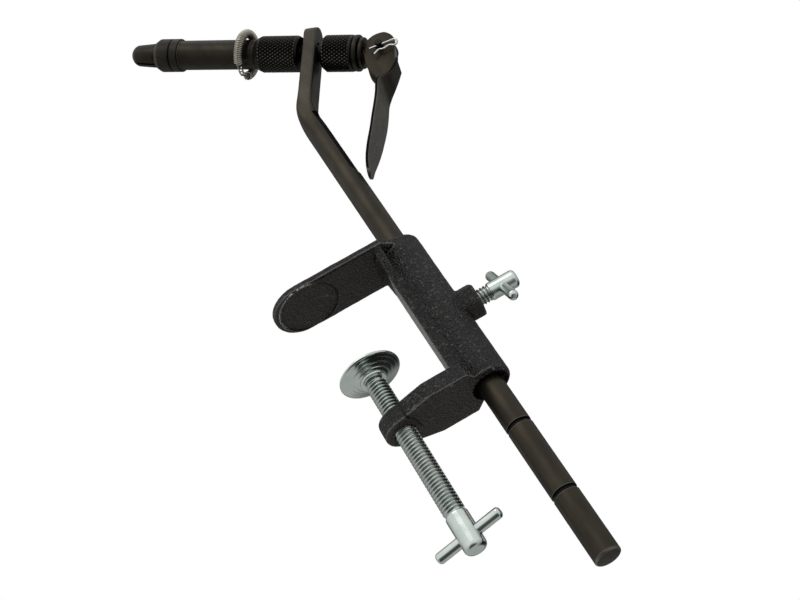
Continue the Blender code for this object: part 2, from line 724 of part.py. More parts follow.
def rear_flat():
    """The milled flat on the post's rear, with the cutter's rounded run-out at its foot."""
    depth = 2 * (POST_RADIUS - FLAT_DISTANCE) + OVERRUN
    low = (FLAT_DISTANCE, FLAT_BOTTOM + FLAT_RUNOUT)
    outline = [(FLAT_DISTANCE + depth, BEND_START), (FLAT_DISTANCE, BEND_START)]
    outline += arc((low[0] + FLAT_RUNOUT, low[1]), FLAT_RUNOUT, math.pi, 4 * math.pi / 3)
    outline += [(FLAT_DISTANCE + depth + FLAT_RUNOUT / 2, FLAT_BOTTOM)]
    item = flat_solid("rear_flat", [outline], 2 * POST_RADIUS, None)
    item.matrix_world = (
        Matrix.Translation((POST_X, 0, 0)) @ Matrix.Rotation(-FLAT_TURN, 4, 'Z') @ FLAT_IN_XZ
    )
    return item


def post():
    item = loft("post", post_rings(), BLACK_OXIDE)
    cut(item, rear_flat(), barrel_slot())
    return item


# Head barrel, sleeve, nuts and rings
def barrel():
    item = turned("barrel", [
        (JAW_LEG_RADIUS + STANDING_GAP, BARREL_FRONT),
        (JAW_LEG_RADIUS + STANDING_GAP, BARREL_STEP),
        (BARREL_RADIUS, BARREL_STEP),
        (BARREL_RADIUS, BARREL_REAR),
        (BARREL_BORE, BARREL_REAR),
        (BARREL_BORE, BARREL_FRONT),
    ], BLACK_OXIDE, MEDIUM_SIDES)
    item.matrix_world = HEAD_PLACE
    return item


def collet_sleeve():
    """The sleeve that the collet draws into, with its neck, tube, groove and heavy nose collar."""
    chamfer_radius = MOUTH_RADIUS + NOSE_MOUTH_LIP
    item = turned("collet_sleeve", [
        (chamfer_radius, SLEEVE_FRONT),
        (NOSE_COLLAR_RADIUS, NOSE_CHAMFER_REAR),
        (NOSE_COLLAR_RADIUS, SLEEVE_GROOVE_FRONT),
        (SLEEVE_GROOVE_RADIUS, SLEEVE_GROOVE_FRONT),
        (SLEEVE_GROOVE_RADIUS, SLEEVE_TUBE_FRONT),
        (SLEEVE_RADIUS, SLEEVE_TUBE_FRONT),
        (SLEEVE_RADIUS, SLEEVE_NECK_FRONT),
        (SLEEVE_NECK_RADIUS, SLEEVE_NECK_FRONT),
        (SLEEVE_NECK_RADIUS, SLEEVE_REAR),
        (BARREL_RADIUS + RUNNING_GAP, SLEEVE_REAR),
        (BARREL_RADIUS + RUNNING_GAP, SLEEVE_REAR + SLEEVE_END_WALL),
        (SLEEVE_BORE, SLEEVE_REAR + SLEEVE_END_WALL),
        (SLEEVE_BORE, MOUTH_REAR),
        (MOUTH_RADIUS, SLEEVE_FRONT),
    ], BLACK_OXIDE)
    item.matrix_world = HEAD_PLACE
    return item


def front_knurled_nut():
    bore = BARREL_RADIUS + RUNNING_GAP
    item = turned("front_knurled_nut", [
        (FRONT_NUT_RADIUS - FRONT_NUT_CHAMFER / 2, FRONT_NUT_FRONT),
        (FRONT_NUT_RADIUS, FRONT_NUT_FRONT - FRONT_NUT_CHAMFER),
        (FRONT_NUT_RADIUS, NUT_STANDOFF + FRONT_NUT_REAR_CHAMFER),
        (FRONT_NUT_RADIUS - FRONT_NUT_REAR_CHAMFER, NUT_STANDOFF),
        (bore, NUT_STANDOFF),
        (bore, FRONT_NUT_FRONT),
    ], BLACK_OXIDE)
    item.matrix_world = HEAD_PLACE
    return item


def rear_knurled_nut():
    """The rear nut, with a turned hub that bears on the back of the plate."""
    bore = BARREL_RADIUS + RUNNING_GAP
    item = turned("rear_knurled_nut", [
        (REAR_HUB_RADIUS, -HUB_STANDOFF),
        (REAR_HUB_RADIUS, REAR_NUT_FRONT),
        (REAR_NUT_RADIUS - REAR_NUT_CHAMFER, REAR_NUT_FRONT),
        (REAR_NUT_RADIUS, REAR_NUT_FRONT - REAR_NUT_CHAMFER),
        (REAR_NUT_RADIUS, REAR_NUT_REAR + RING_ROUNDING),
        (REAR_NUT_RADIUS - RING_ROUNDING, REAR_NUT_REAR),
        (bore, REAR_NUT_REAR),
        (bore, -HUB_STANDOFF),
    ], BLACK_OXIDE)
    item.matrix_world = HEAD_PLACE
    return item


def barrel_ring(name, radius, front, rear):
    """A plain ring on the barrel with both outer edges eased."""
    bore = BARREL_RADIUS + RUNNING_GAP
    item = turned(name, [
        (radius - RING_ROUNDING, front),
        (radius, front - RING_ROUNDING),
        (radius, rear + RING_ROUNDING),
        (radius - RING_ROUNDING, rear),
        (bore, rear),
        (bore, front),
    ], BLACK_OXIDE)
    item.matrix_world = HEAD_PLACE
    return item


# Collet jaws, draw rod and return spring
def collet_jaw(name, side):
    """One half of the split collet: a sprung leg, a cone in the sleeve's mouth and a blunt nose."""
    cone_front = MOUTH_REAR + (NOSE_RADIUS - JAW_LEG_RADIUS) / MOUTH_TAPER_SHARE
    round_rear = JAW_TIP - NOSE_ROUNDING
    outline = [(0, JAW_TIP)]
    for radius, angle in arc((0, 0), 1, math.pi / 2, 0, ARC_STEPS // 2):
        outline.append((
            NOSE_TIP_RADIUS + (NOSE_RADIUS - NOSE_TIP_RADIUS) * radius,
            round_rear + NOSE_ROUNDING * angle,
        ))
    outline += [
        (NOSE_RADIUS, cone_front),
        (JAW_LEG_RADIUS, MOUTH_REAR),
        (JAW_LEG_RADIUS, JAW_ROOT),
        (0, JAW_ROOT),
    ]
    item = turned(name, outline, BLACK_OXIDE, FINE_SIDES)
    root = Matrix.Translation((0, 0, JAW_ROOT))
    item.data.transform(root.inverted())
    length = JAW_TIP - JAW_ROOT
    across = CUT_BLOCK_SHARE * NOSE_RADIUS
    keep_away = block(
        name + "_split",
        (across, 2 * NOSE_RADIUS, length + 2 * OVERRUN),
        (0, -side * (NOSE_RADIUS - JAW_SLIT / 2), length / 2),
    )
    relief = block(
        name + "_relief",
        (across, 2 * JAW_RELIEF_DEPTH, JAW_RELIEF_LENGTH),
        (0, 0, OVERRUN + ROD_HEAD_LENGTH + JAW_RELIEF_LENGTH / 2),
    )
    for piece in (item, keep_away, relief):
        piece.matrix_world = HEAD_PLACE @ root
    cut(item, keep_away, relief)
    return item


def draw_rod():
    item = turned("draw_rod", [
        (0, ROD_FRONT),
        (JAW_LEG_RADIUS, ROD_FRONT),
        (JAW_LEG_RADIUS, ROD_STEP),
        (ROD_RADIUS, ROD_STEP),
        (ROD_RADIUS, CAM_FACE),
        (0, CAM_FACE),
    ], BLACK_OXIDE, SMALL_SIDES)
    item.data.transform(Matrix.Translation((0, 0, LEVER_REACH)))
    item.matrix_world = LEVER_PLACE
    eye = flat_solid("rod_eye", [rod_eye_outline()], ROD_EYE_THICKNESS, None)
    eye.matrix_world = LEVER_PLACE @ FLAT_IN_XZ
    join(item, eye)
    reach = ROD_EYE_THICKNESS / 2 + OVERRUN
    hole = rod("rod_eye_hole", PIN_RADIUS + RUNNING_GAP, reach, -reach, SMALL_SIDES)
    hole.matrix_world = LEVER_PLACE @ FLAT_IN_XZ
    cut(item, hole)
    return item


def rod_eye_outline():
    """The flattened eye: longer to the rear, with a flat neck that runs forward into the rod."""
    stretch = ROD_EYE_TAIL - ROD_EYE_HALF_HEIGHT
    neck = CAM_REACH + STANDING_GAP + ROD_NECK_FUSE
    turn = math.acos(ROD_FLAT_HALF_HEIGHT / ROD_EYE_HALF_HEIGHT)
    outline = arc((0, 0), ROD_EYE_HALF_HEIGHT, 0, turn)
    outline += [(ROD_FLAT_HALF_HEIGHT, neck), (-ROD_FLAT_HALF_HEIGHT, neck)]
    outline += arc((0, 0), ROD_EYE_HALF_HEIGHT, math.pi - turn, math.pi)
    return outline + arc((0, -stretch), ROD_EYE_HALF_HEIGHT, math.pi, 2 * math.pi)


def coil_points(radius, start, end, turns, points_per_turn):
    """Points of a plain coil about the local Z axis."""
    count = turns * points_per_turn
    points = []
    for index in range(count + 1):
        angle = 2 * math.pi * index / points_per_turn
        height = start + (end - start) * index / count
        points.append(Vector((radius * math.cos(angle), radius * math.sin(angle), height)))
    return points


def collet_return_spring():
    start = BARREL_FRONT + STANDING_GAP + RETURN_SPRING_WIRE
    end = ROD_STEP - CAM_RISE - STANDING_GAP - RETURN_SPRING_WIRE
    points = coil_points(RETURN_SPRING_RADIUS, start, end, RETURN_SPRING_TURNS, HOLD_POINTS)
    item = wire("collet_return_spring", points, RETURN_SPRING_WIRE, 1)
    item = mesh_from_curve(item, SPRING_STEEL)
    item.matrix_world = HEAD_PLACE
    return item


# Cam lever
def cam_outline():
    """The cheek's edge in lever axes: x along the head's upward side, y towards the nose.

    The cam's radius grows from the face on the thrust collar up to the top, so that lifting the
    lever draws the rod to the rear. Behind the top it shrinks again, and below that the cheek
    runs down behind the rod's eye into the web of the leaf.
    """
    outline = []
    count = 2 * ARC_STEPS
    for index in range(count + 1):
        angle = CAM_REAR_TURN * index / count
        top = CAM_REACH + CAM_RISE * min(angle / (math.pi / 2), 1)
        behind = max(angle - math.pi / 2, 0) / (CAM_REAR_TURN - math.pi / 2)
        radius = top + (CAM_REAR_RADIUS - top) * behind
        outline.append((radius * math.sin(angle), radius * math.cos(angle)))
    outline += CHEEK_REAR_EDGE
    upper_rows = [row for row in leaf_rows() if row[0] < CHEEK_FOOT_DROP]
    outline += [(-drop, -front - LEAF_THICKNESS / 2) for drop, front, half_width in upper_rows]
    drop, front = upper_rows[-1][:2]
    outline.append((-drop, -front - LEAF_THICKNESS / 3))
    outline += CHEEK_FRONT_EDGE
    return outline


def leaf_rows():
    """Even steps on a smooth line through the leaf's stations: drop, front face and half width."""
    rows = []
    last = len(LEAF_STATIONS) - 1
    for index in range(last):
        near = [LEAF_STATIONS[min(max(index + step, 0), last)] for step in (-1, 0, 1, 2)]
        for part in range(LEAF_STEPS_BETWEEN):
            share = part / LEAF_STEPS_BETWEEN
            rows.append(tuple(between(*values, share) for values in zip(*near)))
    rows.append(LEAF_STATIONS[last])
    return rows


def between(before, start, end, after, share):
    """A smooth value between start and end that keeps the slope of their neighbours."""
    straight = start + (end - start) * share
    slope_in = (end - before) / 2 - (end - start)
    slope_out = (after - start) / 2 - (end - start)
    bend = share * (1 - share)
    return straight + bend * ((1 - share) * slope_in - share * slope_out)


def lever_leaf():
    """The web between the cheeks and the broad leaf below it, as a thickened sheet."""
    mesh = bpy.data.meshes.new("lever_leaf")
    shape = bmesh.new()
    rows = []
    for drop, front, half_width in leaf_rows():
        rows.append([
            shape.verts.new((-drop, half_width * (2 * column / LEAF_COLUMNS - 1), -front))
            for column in range(LEAF_COLUMNS + 1)
        ])
    for upper, lower in zip(rows, rows[1:]):
        for column in range(LEAF_COLUMNS):
            shape.faces.new((upper[column], upper[column + 1], lower[column + 1], lower[column]))
    bmesh.ops.recalc_face_normals(shape, faces=shape.faces)
    if shape.faces[0].normal.z < 0:
        bmesh.ops.reverse_faces(shape, faces=shape.faces)
    shape.to_mesh(mesh)
    shape.free()
    mesh.shade_smooth()
    item = add_object("lever_leaf", mesh, None)
    step = item.modifiers.new("Sheet thickness", 'SOLIDIFY')
    step.thickness = LEAF_THICKNESS
    step.offset = -1
    item.matrix_world = LEVER_PLACE
    return item


def cam_lever():
    """Two cam cheeks on one pin, joined behind the rod by a web that widens into the leaf."""
    cheeks = []
    middle = (CHEEK_INSIDE + CHEEK_OUTSIDE) / 2
    hole = arc((0, 0), PIN_RADIUS + RUNNING_GAP, math.pi, 3 * math.pi, SMALL_SIDES)[:-1]
    for side, name in ((1, "cam_lever"), (-1, "far_cheek")):
        cheek = flat_solid(name, [cam_outline(), hole], CHEEK_THICKNESS, BLACK_OXIDE)
        cheek.data.transform(Matrix.Translation((0, side * -middle, 0)) @ FLAT_IN_XZ)
        cheek.matrix_world = LEVER_PLACE
        cheeks.append(cheek)
    lever, far_cheek = cheeks
    join(lever, far_cheek, lever_leaf())
    return lever


def clip_direction():
    return Vector((math.sin(CLIP_LEG_ANGLE), 0, math.cos(CLIP_LEG_ANGLE)))


def cam_pin():
    far_face = -CHEEK_OUTSIDE - STANDING_GAP
    pin = turned("cam_pin", [
        (0, PIN_NEAR_REACH),
        (PIN_RADIUS - RUNNING_GAP, PIN_NEAR_REACH),
        (PIN_RADIUS, PIN_NEAR_REACH - RUNNING_GAP),
        (PIN_RADIUS, far_face),
        (PIN_HEAD_RADIUS, far_face),
        (PIN_HEAD_RADIUS, far_face - PIN_HEAD_LENGTH),
        (0, far_face - PIN_HEAD_LENGTH),
    ], BLACK_OXIDE, SMALL_SIDES)
    pin.matrix_world = LEVER_PLACE @ FLAT_IN_XZ
    reach = PIN_RADIUS + OVERRUN
    hole = rod("clip_hole", CLIP_WIRE + RUNNING_GAP, reach, -reach, SMALL_SIDES // 2)
    turn = clip_direction().to_track_quat('Z', 'Y').to_matrix().to_4x4()
    hole.matrix_world = LEVER_PLACE @ Matrix.Translation((0, -PIN_CLIP_PLACE, 0)) @ turn
    cut(pin, hole)
    return pin


def pin_clip():
    """A hairpin: one straight leg through the pin and one waved leg that springs round it."""
    along = clip_direction()
    aside = Vector((-along.z, 0, along.x))
    hug = PIN_RADIUS + CLIP_WIRE + RUNNING_GAP
    bow = (-aside * CLIP_BOW_RADIUS) + along * CLIP_LEG_REAR
    points = [along * -CLIP_LEG_FRONT, along * CLIP_LEG_REAR]
    for x, y in arc((0, 0), CLIP_BOW_RADIUS, math.pi / 2, -math.pi / 2, ARC_STEPS)[1:]:
        points.append(bow + aside * y + along * x)
    for index in range(1, CLIP_WAVES + 1):
        run = CLIP_LEG_REAR - (CLIP_TAIL + CLIP_LEG_REAR) * index / CLIP_WAVES
        near = math.exp(-(run / PIN_RADIUS) ** 2)
        offset = 2 * CLIP_BOW_RADIUS + (hug - 2 * CLIP_BOW_RADIUS) * near
        points.append(along * run - aside * offset)
    centre = Vector((0, -PIN_CLIP_PLACE, 0))
    item = wire("pin_clip", [centre + point for point in points], CLIP_WIRE, 2)
    item = mesh_from_curve(item, SPRING_STEEL)
    item.matrix_world = LEVER_PLACE
    return item


# Clip spring round the sleeve
def hold_spring_points():
    """One unbroken wire: a hook, the coils bent into a ring, and a hook linked to the first."""
    gap_angle = HOLD_HOOK_GAP / HOLD_RING_RADIUS
    first = HOLD_JOIN_TURN + gap_angle
    last = HOLD_JOIN_TURN + 2 * math.pi - gap_angle
    steps = int(HOLD_TURNS * HOLD_POINTS)

    def ring_point(turn, outward, along):
        radial = Vector((math.cos(turn), math.sin(turn), 0))
        return radial * (HOLD_RING_RADIUS + outward) + Vector((0, 0, along))

    def hook(side, plane_turn):
        outward = math.sin(plane_turn)
        along = math.cos(plane_turn)
        points = []
        for x, y in arc((0, 0), HOLD_COIL_RADIUS, -math.pi / 2, math.pi / 2, HOLD_HOOK_POINTS):
            turn = HOLD_JOIN_TURN - side * (x - HOLD_HOOK_OVERLAP) / HOLD_RING_RADIUS
            points.append(ring_point(turn, outward * y, along * y))
        return points

    points = list(reversed(hook(1, math.pi / 2)))
    for index in range(steps + 1):
        phase = 2 * math.pi * HOLD_TURNS * index / steps - math.pi / 2
        turn = first + (last - first) * index / steps
        outward = HOLD_COIL_RADIUS * math.sin(phase)
        points.append(ring_point(turn, outward, HOLD_COIL_RADIUS * math.cos(phase)))
    return points + hook(-1, 0)


def least_self_gap(points, wire_radius, skip):
    """The least gap between stretches of one wire that lie at least a skip of points apart."""
    least = math.inf
    for index, place in enumerate(points):
        for other in points[index + skip:]:
            least = min(least, (place - other).length)
    return least - 2 * wire_radius


def material_clip_spring():
    points = hold_spring_points()
    gap = least_self_gap(points, HOLD_WIRE, HOLD_POINTS - 1)
    print("clip spring least gap to itself, mm:", round(gap / MILLIMETRE, 3))
    item = wire("material_clip_spring", points, HOLD_WIRE, 1)
    item = mesh_from_curve(item, SPRING_STEEL)
    place = SLEEVE_NECK_FRONT + HOLD_PLACE
    item.matrix_world = (
        HEAD_PLACE
        @ Matrix.Translation((-HOLD_SAG, -HOLD_NEAR_SHIFT, place))
        @ Matrix.Rotation(HOLD_TILT, 4, 'Y')
    )
    return item


# The whole vise
def build():
    clamp_body()
    clamp_screw()
    clamp_pad()
    bar = cross_bar("clamp_tommy_bar", BAR_LENGTH, BAR_RADIUS)
    bar.matrix_world = bar_place()
    lock_screw()
    lock_bar = cross_bar("lock_cross_bar", LOCK_BAR_LENGTH, LOCK_BAR_RADIUS)
    lock_bar.matrix_world = lock_bar_place()
    post()
    barrel()
    collet_sleeve()
    front_knurled_nut()
    rear_knurled_nut()
    barrel_ring("jam_ring", RING_RADIUS, RING_FRONT, RING_REAR)
    barrel_ring("thrust_collar", COLLAR_RADIUS, COLLAR_FRONT, CAM_FACE)
    collet_jaw("collet_jaw_near", -1)
    collet_jaw("collet_jaw_far", 1)
    draw_rod()
    collet_return_spring()
    material_clip_spring()
    cam_lever()
    cam_pin()
    pin_clip()


build()
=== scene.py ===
import math

import bmesh
import bpy
from mathutils import Matrix, Vector, noise


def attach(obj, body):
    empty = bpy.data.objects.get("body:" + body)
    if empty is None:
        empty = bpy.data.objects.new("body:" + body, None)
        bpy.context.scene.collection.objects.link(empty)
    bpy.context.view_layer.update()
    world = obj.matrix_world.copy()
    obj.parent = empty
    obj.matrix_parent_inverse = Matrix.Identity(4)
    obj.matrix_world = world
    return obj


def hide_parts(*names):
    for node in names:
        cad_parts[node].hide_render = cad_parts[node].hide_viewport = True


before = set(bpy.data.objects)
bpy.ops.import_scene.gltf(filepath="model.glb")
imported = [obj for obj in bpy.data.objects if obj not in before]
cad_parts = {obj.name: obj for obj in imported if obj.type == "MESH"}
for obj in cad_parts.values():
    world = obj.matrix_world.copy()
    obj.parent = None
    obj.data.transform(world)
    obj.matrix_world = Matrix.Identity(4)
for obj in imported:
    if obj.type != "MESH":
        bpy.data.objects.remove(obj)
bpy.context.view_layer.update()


# The photograph's camera
# It stands low in front of the vise and looks up at it, rolled so that the post runs from the
# upper left to the lower right. Its place and turn were fitted to the photograph's edges.
def add_object(name, data):
    """A new object at the origin of the scene."""
    made = bpy.data.objects.new(name, data)
    bpy.context.scene.collection.objects.link(made)
    return made


camera_data = bpy.data.cameras.new("camera")
camera_data.lens = 63
camera_data.sensor_width = 36
camera_data.clip_start = 0.01
camera = add_object("camera", camera_data)
camera_right = Vector((0.8668, 0.2295, -0.4428)).normalized()
camera_up = Vector((0.4896, -0.5602, 0.6682)).normalized()
camera_back = camera_right.cross(camera_up).normalized()
camera_up = camera_back.cross(camera_right)
camera.matrix_world = Matrix((
    (camera_right.x, camera_up.x, camera_back.x, -0.0247),
    (camera_right.y, camera_up.y, camera_back.y, -0.4057),
    (camera_right.z, camera_up.z, camera_back.z, -0.3226),
    (0, 0, 0, 1),
))
bpy.context.scene.camera = camera
bpy.context.scene.view_settings.view_transform = "Standard"


# Backdrop, light and floor
# A white backdrop for the camera. The light itself is a soft tent with dark openings below
# the camera, at the lower right and behind, which give plated parts their dark bands.
def srgb(code):
    """A hex colour as linear red, green, blue and alpha."""
    parts = [int(code[start:start + 2], 16) / 255 for start in (1, 3, 5)]
    return (*(c / 12.92 if c <= 0.04045 else ((c + 0.055) / 1.055) ** 2.4 for c in parts), 1)


def feed(node, inputs):
    """Set a node's inputs, a list in socket order or a dict. A node links its output in use."""
    for socket, value in inputs.items() if isinstance(inputs, dict) else enumerate(inputs):
        if isinstance(value, bpy.types.Node):
            value = next(output for output in value.outputs if output.enabled)
        if isinstance(value, bpy.types.NodeSocket):
            node.id_data.links.new(value, node.inputs[socket])
        else:
            node.inputs[socket].default_value = value


def add(tree, kind, inputs=(), **settings):
    """Add a shader node, with its settings by name. A MapRange takes a value, two ends and two levels."""
    made = tree.nodes.new("ShaderNode" + kind)
    for key, value in settings.items():
        setattr(made, key, value)
    feed(made, inputs)
    return made


world = bpy.data.worlds.new("white_studio")
bpy.context.scene.world = world
world.use_nodes = True
sky = world.node_tree
direction = add(sky, "TexCoord").outputs["Generated"]
towards_light = (-camera_right * 0.50 + camera_up * 0.82 + camera_back * 0.30).normalized()
facing = add(sky, "VectorMath", [direction, towards_light], operation="DOT_PRODUCT")
soft_level = add(sky, "MapRange", [facing, -1.0, 1.0, 0.60, 1.10])
mirror_level = add(sky, "MapRange", [facing, -0.50, 0.95, 0.60, 1.15], interpolation_type="SMOOTHSTEP")
# Each opening: its middle, the cosines at its soft edge and its dark core, and the core's level.
for middle, edge, core, dark in (
    (-camera_up * 0.42 + camera_back * 0.91, 0.66, 0.95, 0.12),
    (camera_right * 0.85 - camera_up * 0.35 - camera_back * 0.20, 0.80, 0.95, 0.04),
    (-camera_back, 0.40, 0.92, 0.22),
):
    towards = add(sky, "VectorMath", [direction, middle.normalized()], operation="DOT_PRODUCT")
    opening = add(sky, "MapRange", [towards, edge, core, 1.0, dark], interpolation_type="SMOOTHSTEP")
    mirror_level = add(sky, "Math", [mirror_level, opening], operation="MULTIPLY")
rays = add(sky, "LightPath")
level = add(sky, "Mix", {0: rays.outputs["Is Glossy Ray"], 2: soft_level, 3: mirror_level})
seen = add(sky, "Mix", {0: rays.outputs["Is Camera Ray"], 2: level, 3: 1.0})
feed(sky.nodes["Background"], {"Color": (1, 1, 1, 1), "Strength": seen})

key_data = bpy.data.lights.new("key_softbox", "AREA")
key_data.shape = "RECTANGLE"
key_data.size = 0.5
key_data.size_y = 0.35
key_data.energy = 1.0
key = add_object("key_softbox", key_data)
centre = Vector((0.018, 0, 0.01))
key_distance = 0.75
key.location = centre + towards_light * key_distance
key.rotation_euler = (key.location - centre).to_track_quat("Z", "Y").to_euler()

floor_mesh = bpy.data.meshes.new("studio_floor")
shape = bmesh.new()
bmesh.ops.create_grid(shape, x_segments=1, y_segments=1, size=3)
shape.to_mesh(floor_mesh)
shape.free()
floor = add_object("studio_floor", floor_mesh)
floor.location.z = -0.62


def new_material(name):
    """A material with its node tree and its shader."""
    made = bpy.data.materials.new(name)
    made.use_nodes = True
    return made, made.node_tree, made.node_tree.nodes["Principled BSDF"]


floor_paint, _, floor_shader = new_material("pale_backdrop_paint")
feed(floor_shader, {"Base Color": srgb("#f4f4f2"), "Roughness": 0.8})
floor_mesh.materials.append(floor_paint)
# Plated parts mirror the tent and its openings, not the floor.
floor.visible_glossy = False


# Post
# The vise's stem, a 3/8 inch steel bar in brown-black oxide with two stop grooves near its
# foot. Its top is bent and forged into a slotted plate, and its rear carries a milled flat.
MM = 0.001


def black_oxide(name, dark, light, roughness, turned):
    """Oiled black oxide on steel: cloudy tints, fine grain and, where turned, faint tool lines."""
    made, tree, shader = new_material(name)
    place = add(tree, "TexCoord").outputs["Object"]
    # Streaks about 5 mm wide shift the tint from olive brown to blue black, as heat and oil do.
    upright = add(tree, "Mapping", {"Vector": place, "Scale": (1.0, 1.0, 0.35)})
    clouds = add(tree, "TexNoise", {"Vector": upright, "Scale": 210.0, "Detail": 4.0})
    colour = add(tree, "Mix", {0: clouds, 6: srgb(dark), 7: srgb(light)}, data_type="RGBA")
    # Rounded edges rub bright, and each turned mesh carries that as its wear value; on the knurl's points
    # and down the lever's leaf that value is a painted highlight. A value below zero is painted shade, in
    # grooves and between the knurl's points.
    wear_and_painted_light = add(tree, "Attribute", attribute_name="wear_and_painted_light").outputs["Fac"]
    spots = add(tree, "TexNoise", {"Vector": place, "Scale": 700.0, "Detail": 2.0})
    soft_spots = add(tree, "MapRange", [spots, 0.3, 0.7, 0.38, 0.62])
    rub_and_painted_light = add(tree, "Math", [wear_and_painted_light, soft_spots], operation="MULTIPLY")
    painted_groove_shade = add(tree, "Math", [wear_and_painted_light, -1.0], operation="MULTIPLY", use_clamp=True)
    for mask, code in ((rub_and_painted_light, "#8f8c84"), (painted_groove_shade, "#050504")):
        colour = add(tree, "Mix", {0: mask, 6: colour, 7: srgb(code)}, data_type="RGBA")
    # Patches of oil make the gloss uneven.
    gloss = add(tree, "MapRange", [clouds, 0.3, 0.7, roughness + 0.06, roughness - 0.06])
    # Grain about 0.3 mm across stands for the etched surface of the oxide.
    grain = add(tree, "TexNoise", {"Vector": place, "Scale": 3000.0, "Detail": 2.0})
    height = grain
    if turned:
        # Tool lines lie round the piece, along the first direction of its own map.
        lines = add(tree, "Mapping", {
            "Vector": add(tree, "UVMap", uv_map="turned"), "Scale": (1.5, 200.0, 1.0),
        })
        rings = add(tree, "TexNoise", {"Vector": lines, "Scale": 1.0, "Detail": 3.0})
        height = add(tree, "Math", [height, rings], operation="ADD")
    bump = add(tree, "Bump", {"Strength": 0.16, "Distance": 0.12 * MM, "Height": height})
    feed(shader, {"Base Color": colour, "Metallic": 0.85, "Roughness": gloss, "Normal": bump})
    return made


def smooth(mesh, sharp):
    """Shade a mesh smooth, but keep edges that turn by more than some degrees sharp."""
    mesh.shade_smooth()
    mesh.set_sharp_from_angle(angle=math.radians(sharp))


def paint(mesh, *materials):
    """Give a mesh these materials and no others."""
    mesh.materials.clear()
    for item in materials:
        mesh.materials.append(item)


def new_piece(name, shape, *materials, sharp=38):
    """Finish a mesh that is being built as one smooth-shaded object at the origin."""
    bmesh.ops.recalc_face_normals(shape, faces=shape.faces)
    mesh = bpy.data.meshes.new(name)
    paint(mesh, *materials)
    shape.to_mesh(mesh)
    shape.free()
    smooth(mesh, sharp)
    return add_object(name, mesh)


def new_shape():
    """A mesh to build on, with the turned map and the wear value that the materials read; that value also
    carries painted highlights and painted shade.
    """
    shape = bmesh.new()
    shape.loops.layers.uv.new("turned")
    shape.verts.layers.float.new("wear_and_painted_light")
    return shape


def skin(shape, rings, wears_and_painted_light, runs, loop=False):
    """Join rings of equal counts into a closed skin; its map runs round the rings and along them."""
    uv = shape.loops.layers.uv["turned"]
    wear_and_painted_light = shape.verts.layers.float["wear_and_painted_light"]
    loops = []
    for ring, amount in zip(rings, wears_and_painted_light):
        made = [shape.verts.new(point) for point in ring]
        for vert in made:
            vert[wear_and_painted_light] = amount
        loops.append(made)
    sides = len(loops[0])
    pairs = list(zip(range(len(loops) - 1), range(1, len(loops))))
    if loop:
        pairs.append((len(loops) - 1, 0))
    for upper, lower in pairs:
        for index in range(sides):
            after = (index + 1) % sides
            face = shape.faces.new((
                loops[upper][index], loops[lower][index], loops[lower][after], loops[upper][after],
            ))
            places = ((index, upper), (index, lower), (index + 1, lower), (index + 1, upper))
            for corner, (turn, row) in zip(face.loops, places):
                corner[uv].uv = (turn / sides, runs[row] * 100)
    if not loop:
        shape.faces.new(loops[0])
        shape.faces.new(list(reversed(loops[-1])))


def baked(made):
    """Apply an object's modifiers to its mesh for good."""
    bpy.context.view_layer.update()
    graph = bpy.context.evaluated_depsgraph_get()
    mesh = bpy.data.meshes.new_from_object(made.evaluated_get(graph))
    old = made.data
    made.modifiers.clear()
    made.data = mesh
    mesh.name = made.name
    bpy.data.meshes.remove(old)
    return mesh


def cut_with(made, *tools):
    """Cut tools out of a piece in one step and remove them."""
    group = bpy.data.collections.new("cutting tools")
    bpy.context.scene.collection.children.link(group)
    for tool in tools:
        bpy.context.scene.collection.objects.unlink(tool)
        group.objects.link(tool)
    step = made.modifiers.new("cut", "BOOLEAN")
    step.operation = "DIFFERENCE"
    step.operand_type = "COLLECTION"
    step.collection = group
    step.solver = "MANIFOLD"
    baked(made)
    for tool in tools:
        bpy.data.objects.remove(tool, do_unlink=True)
    bpy.data.collections.remove(group)


def prism(name, outline, depth, place):
    """A closed outline in its own XY plane, drawn out evenly both ways, as a tool."""
    shape = new_shape()
    rings = [[place @ Vector((x, y, z)) for x, y in outline] for z in (depth / 2, -depth / 2)]
    skin(shape, rings, (0, 0), (0, depth))
    return new_piece(name, shape)


post_x = 33.5 * MM
post_radius = 4.7625 * MM
lean = math.radians(28.8)
bend_radius = 15 * MM
bend_start = 83.9487 * MM
bend_run = bend_radius * lean
plate_run = 38.9885 * MM
plate_half_width = 6 * MM
plate_half_thickness = 3.05 * MM
forged_run = 8 * MM


def squared(value, squareness):
    """A sine or cosine swelled towards a square; a squareness of 2 leaves it round."""
    return math.copysign(abs(value) ** (2 / squareness), value)


def post_ring(run, half_width, half_thickness, squareness, sides=112):
    """A ring across the post at a run above the start of the bend."""
    turn = min(max(run / bend_radius, 0), lean)
    middle = Vector((
        post_x + bend_radius * (1 - math.cos(turn)), 0,
        bend_start + bend_radius * math.sin(turn) + min(run, 0),
    ))
    middle += Vector((math.sin(turn), 0, math.cos(turn))) * max(run - bend_run, 0)
    across = Vector((math.cos(turn), 0, -math.sin(turn)))
    ring = []
    for index in range(sides):
        angle = 2 * math.pi * index / sides
        thick = half_thickness * squared(math.cos(angle), squareness)
        wide = half_width * squared(math.sin(angle), squareness)
        ring.append(middle + across * thick + Vector((0, wide, 0)))
    return ring
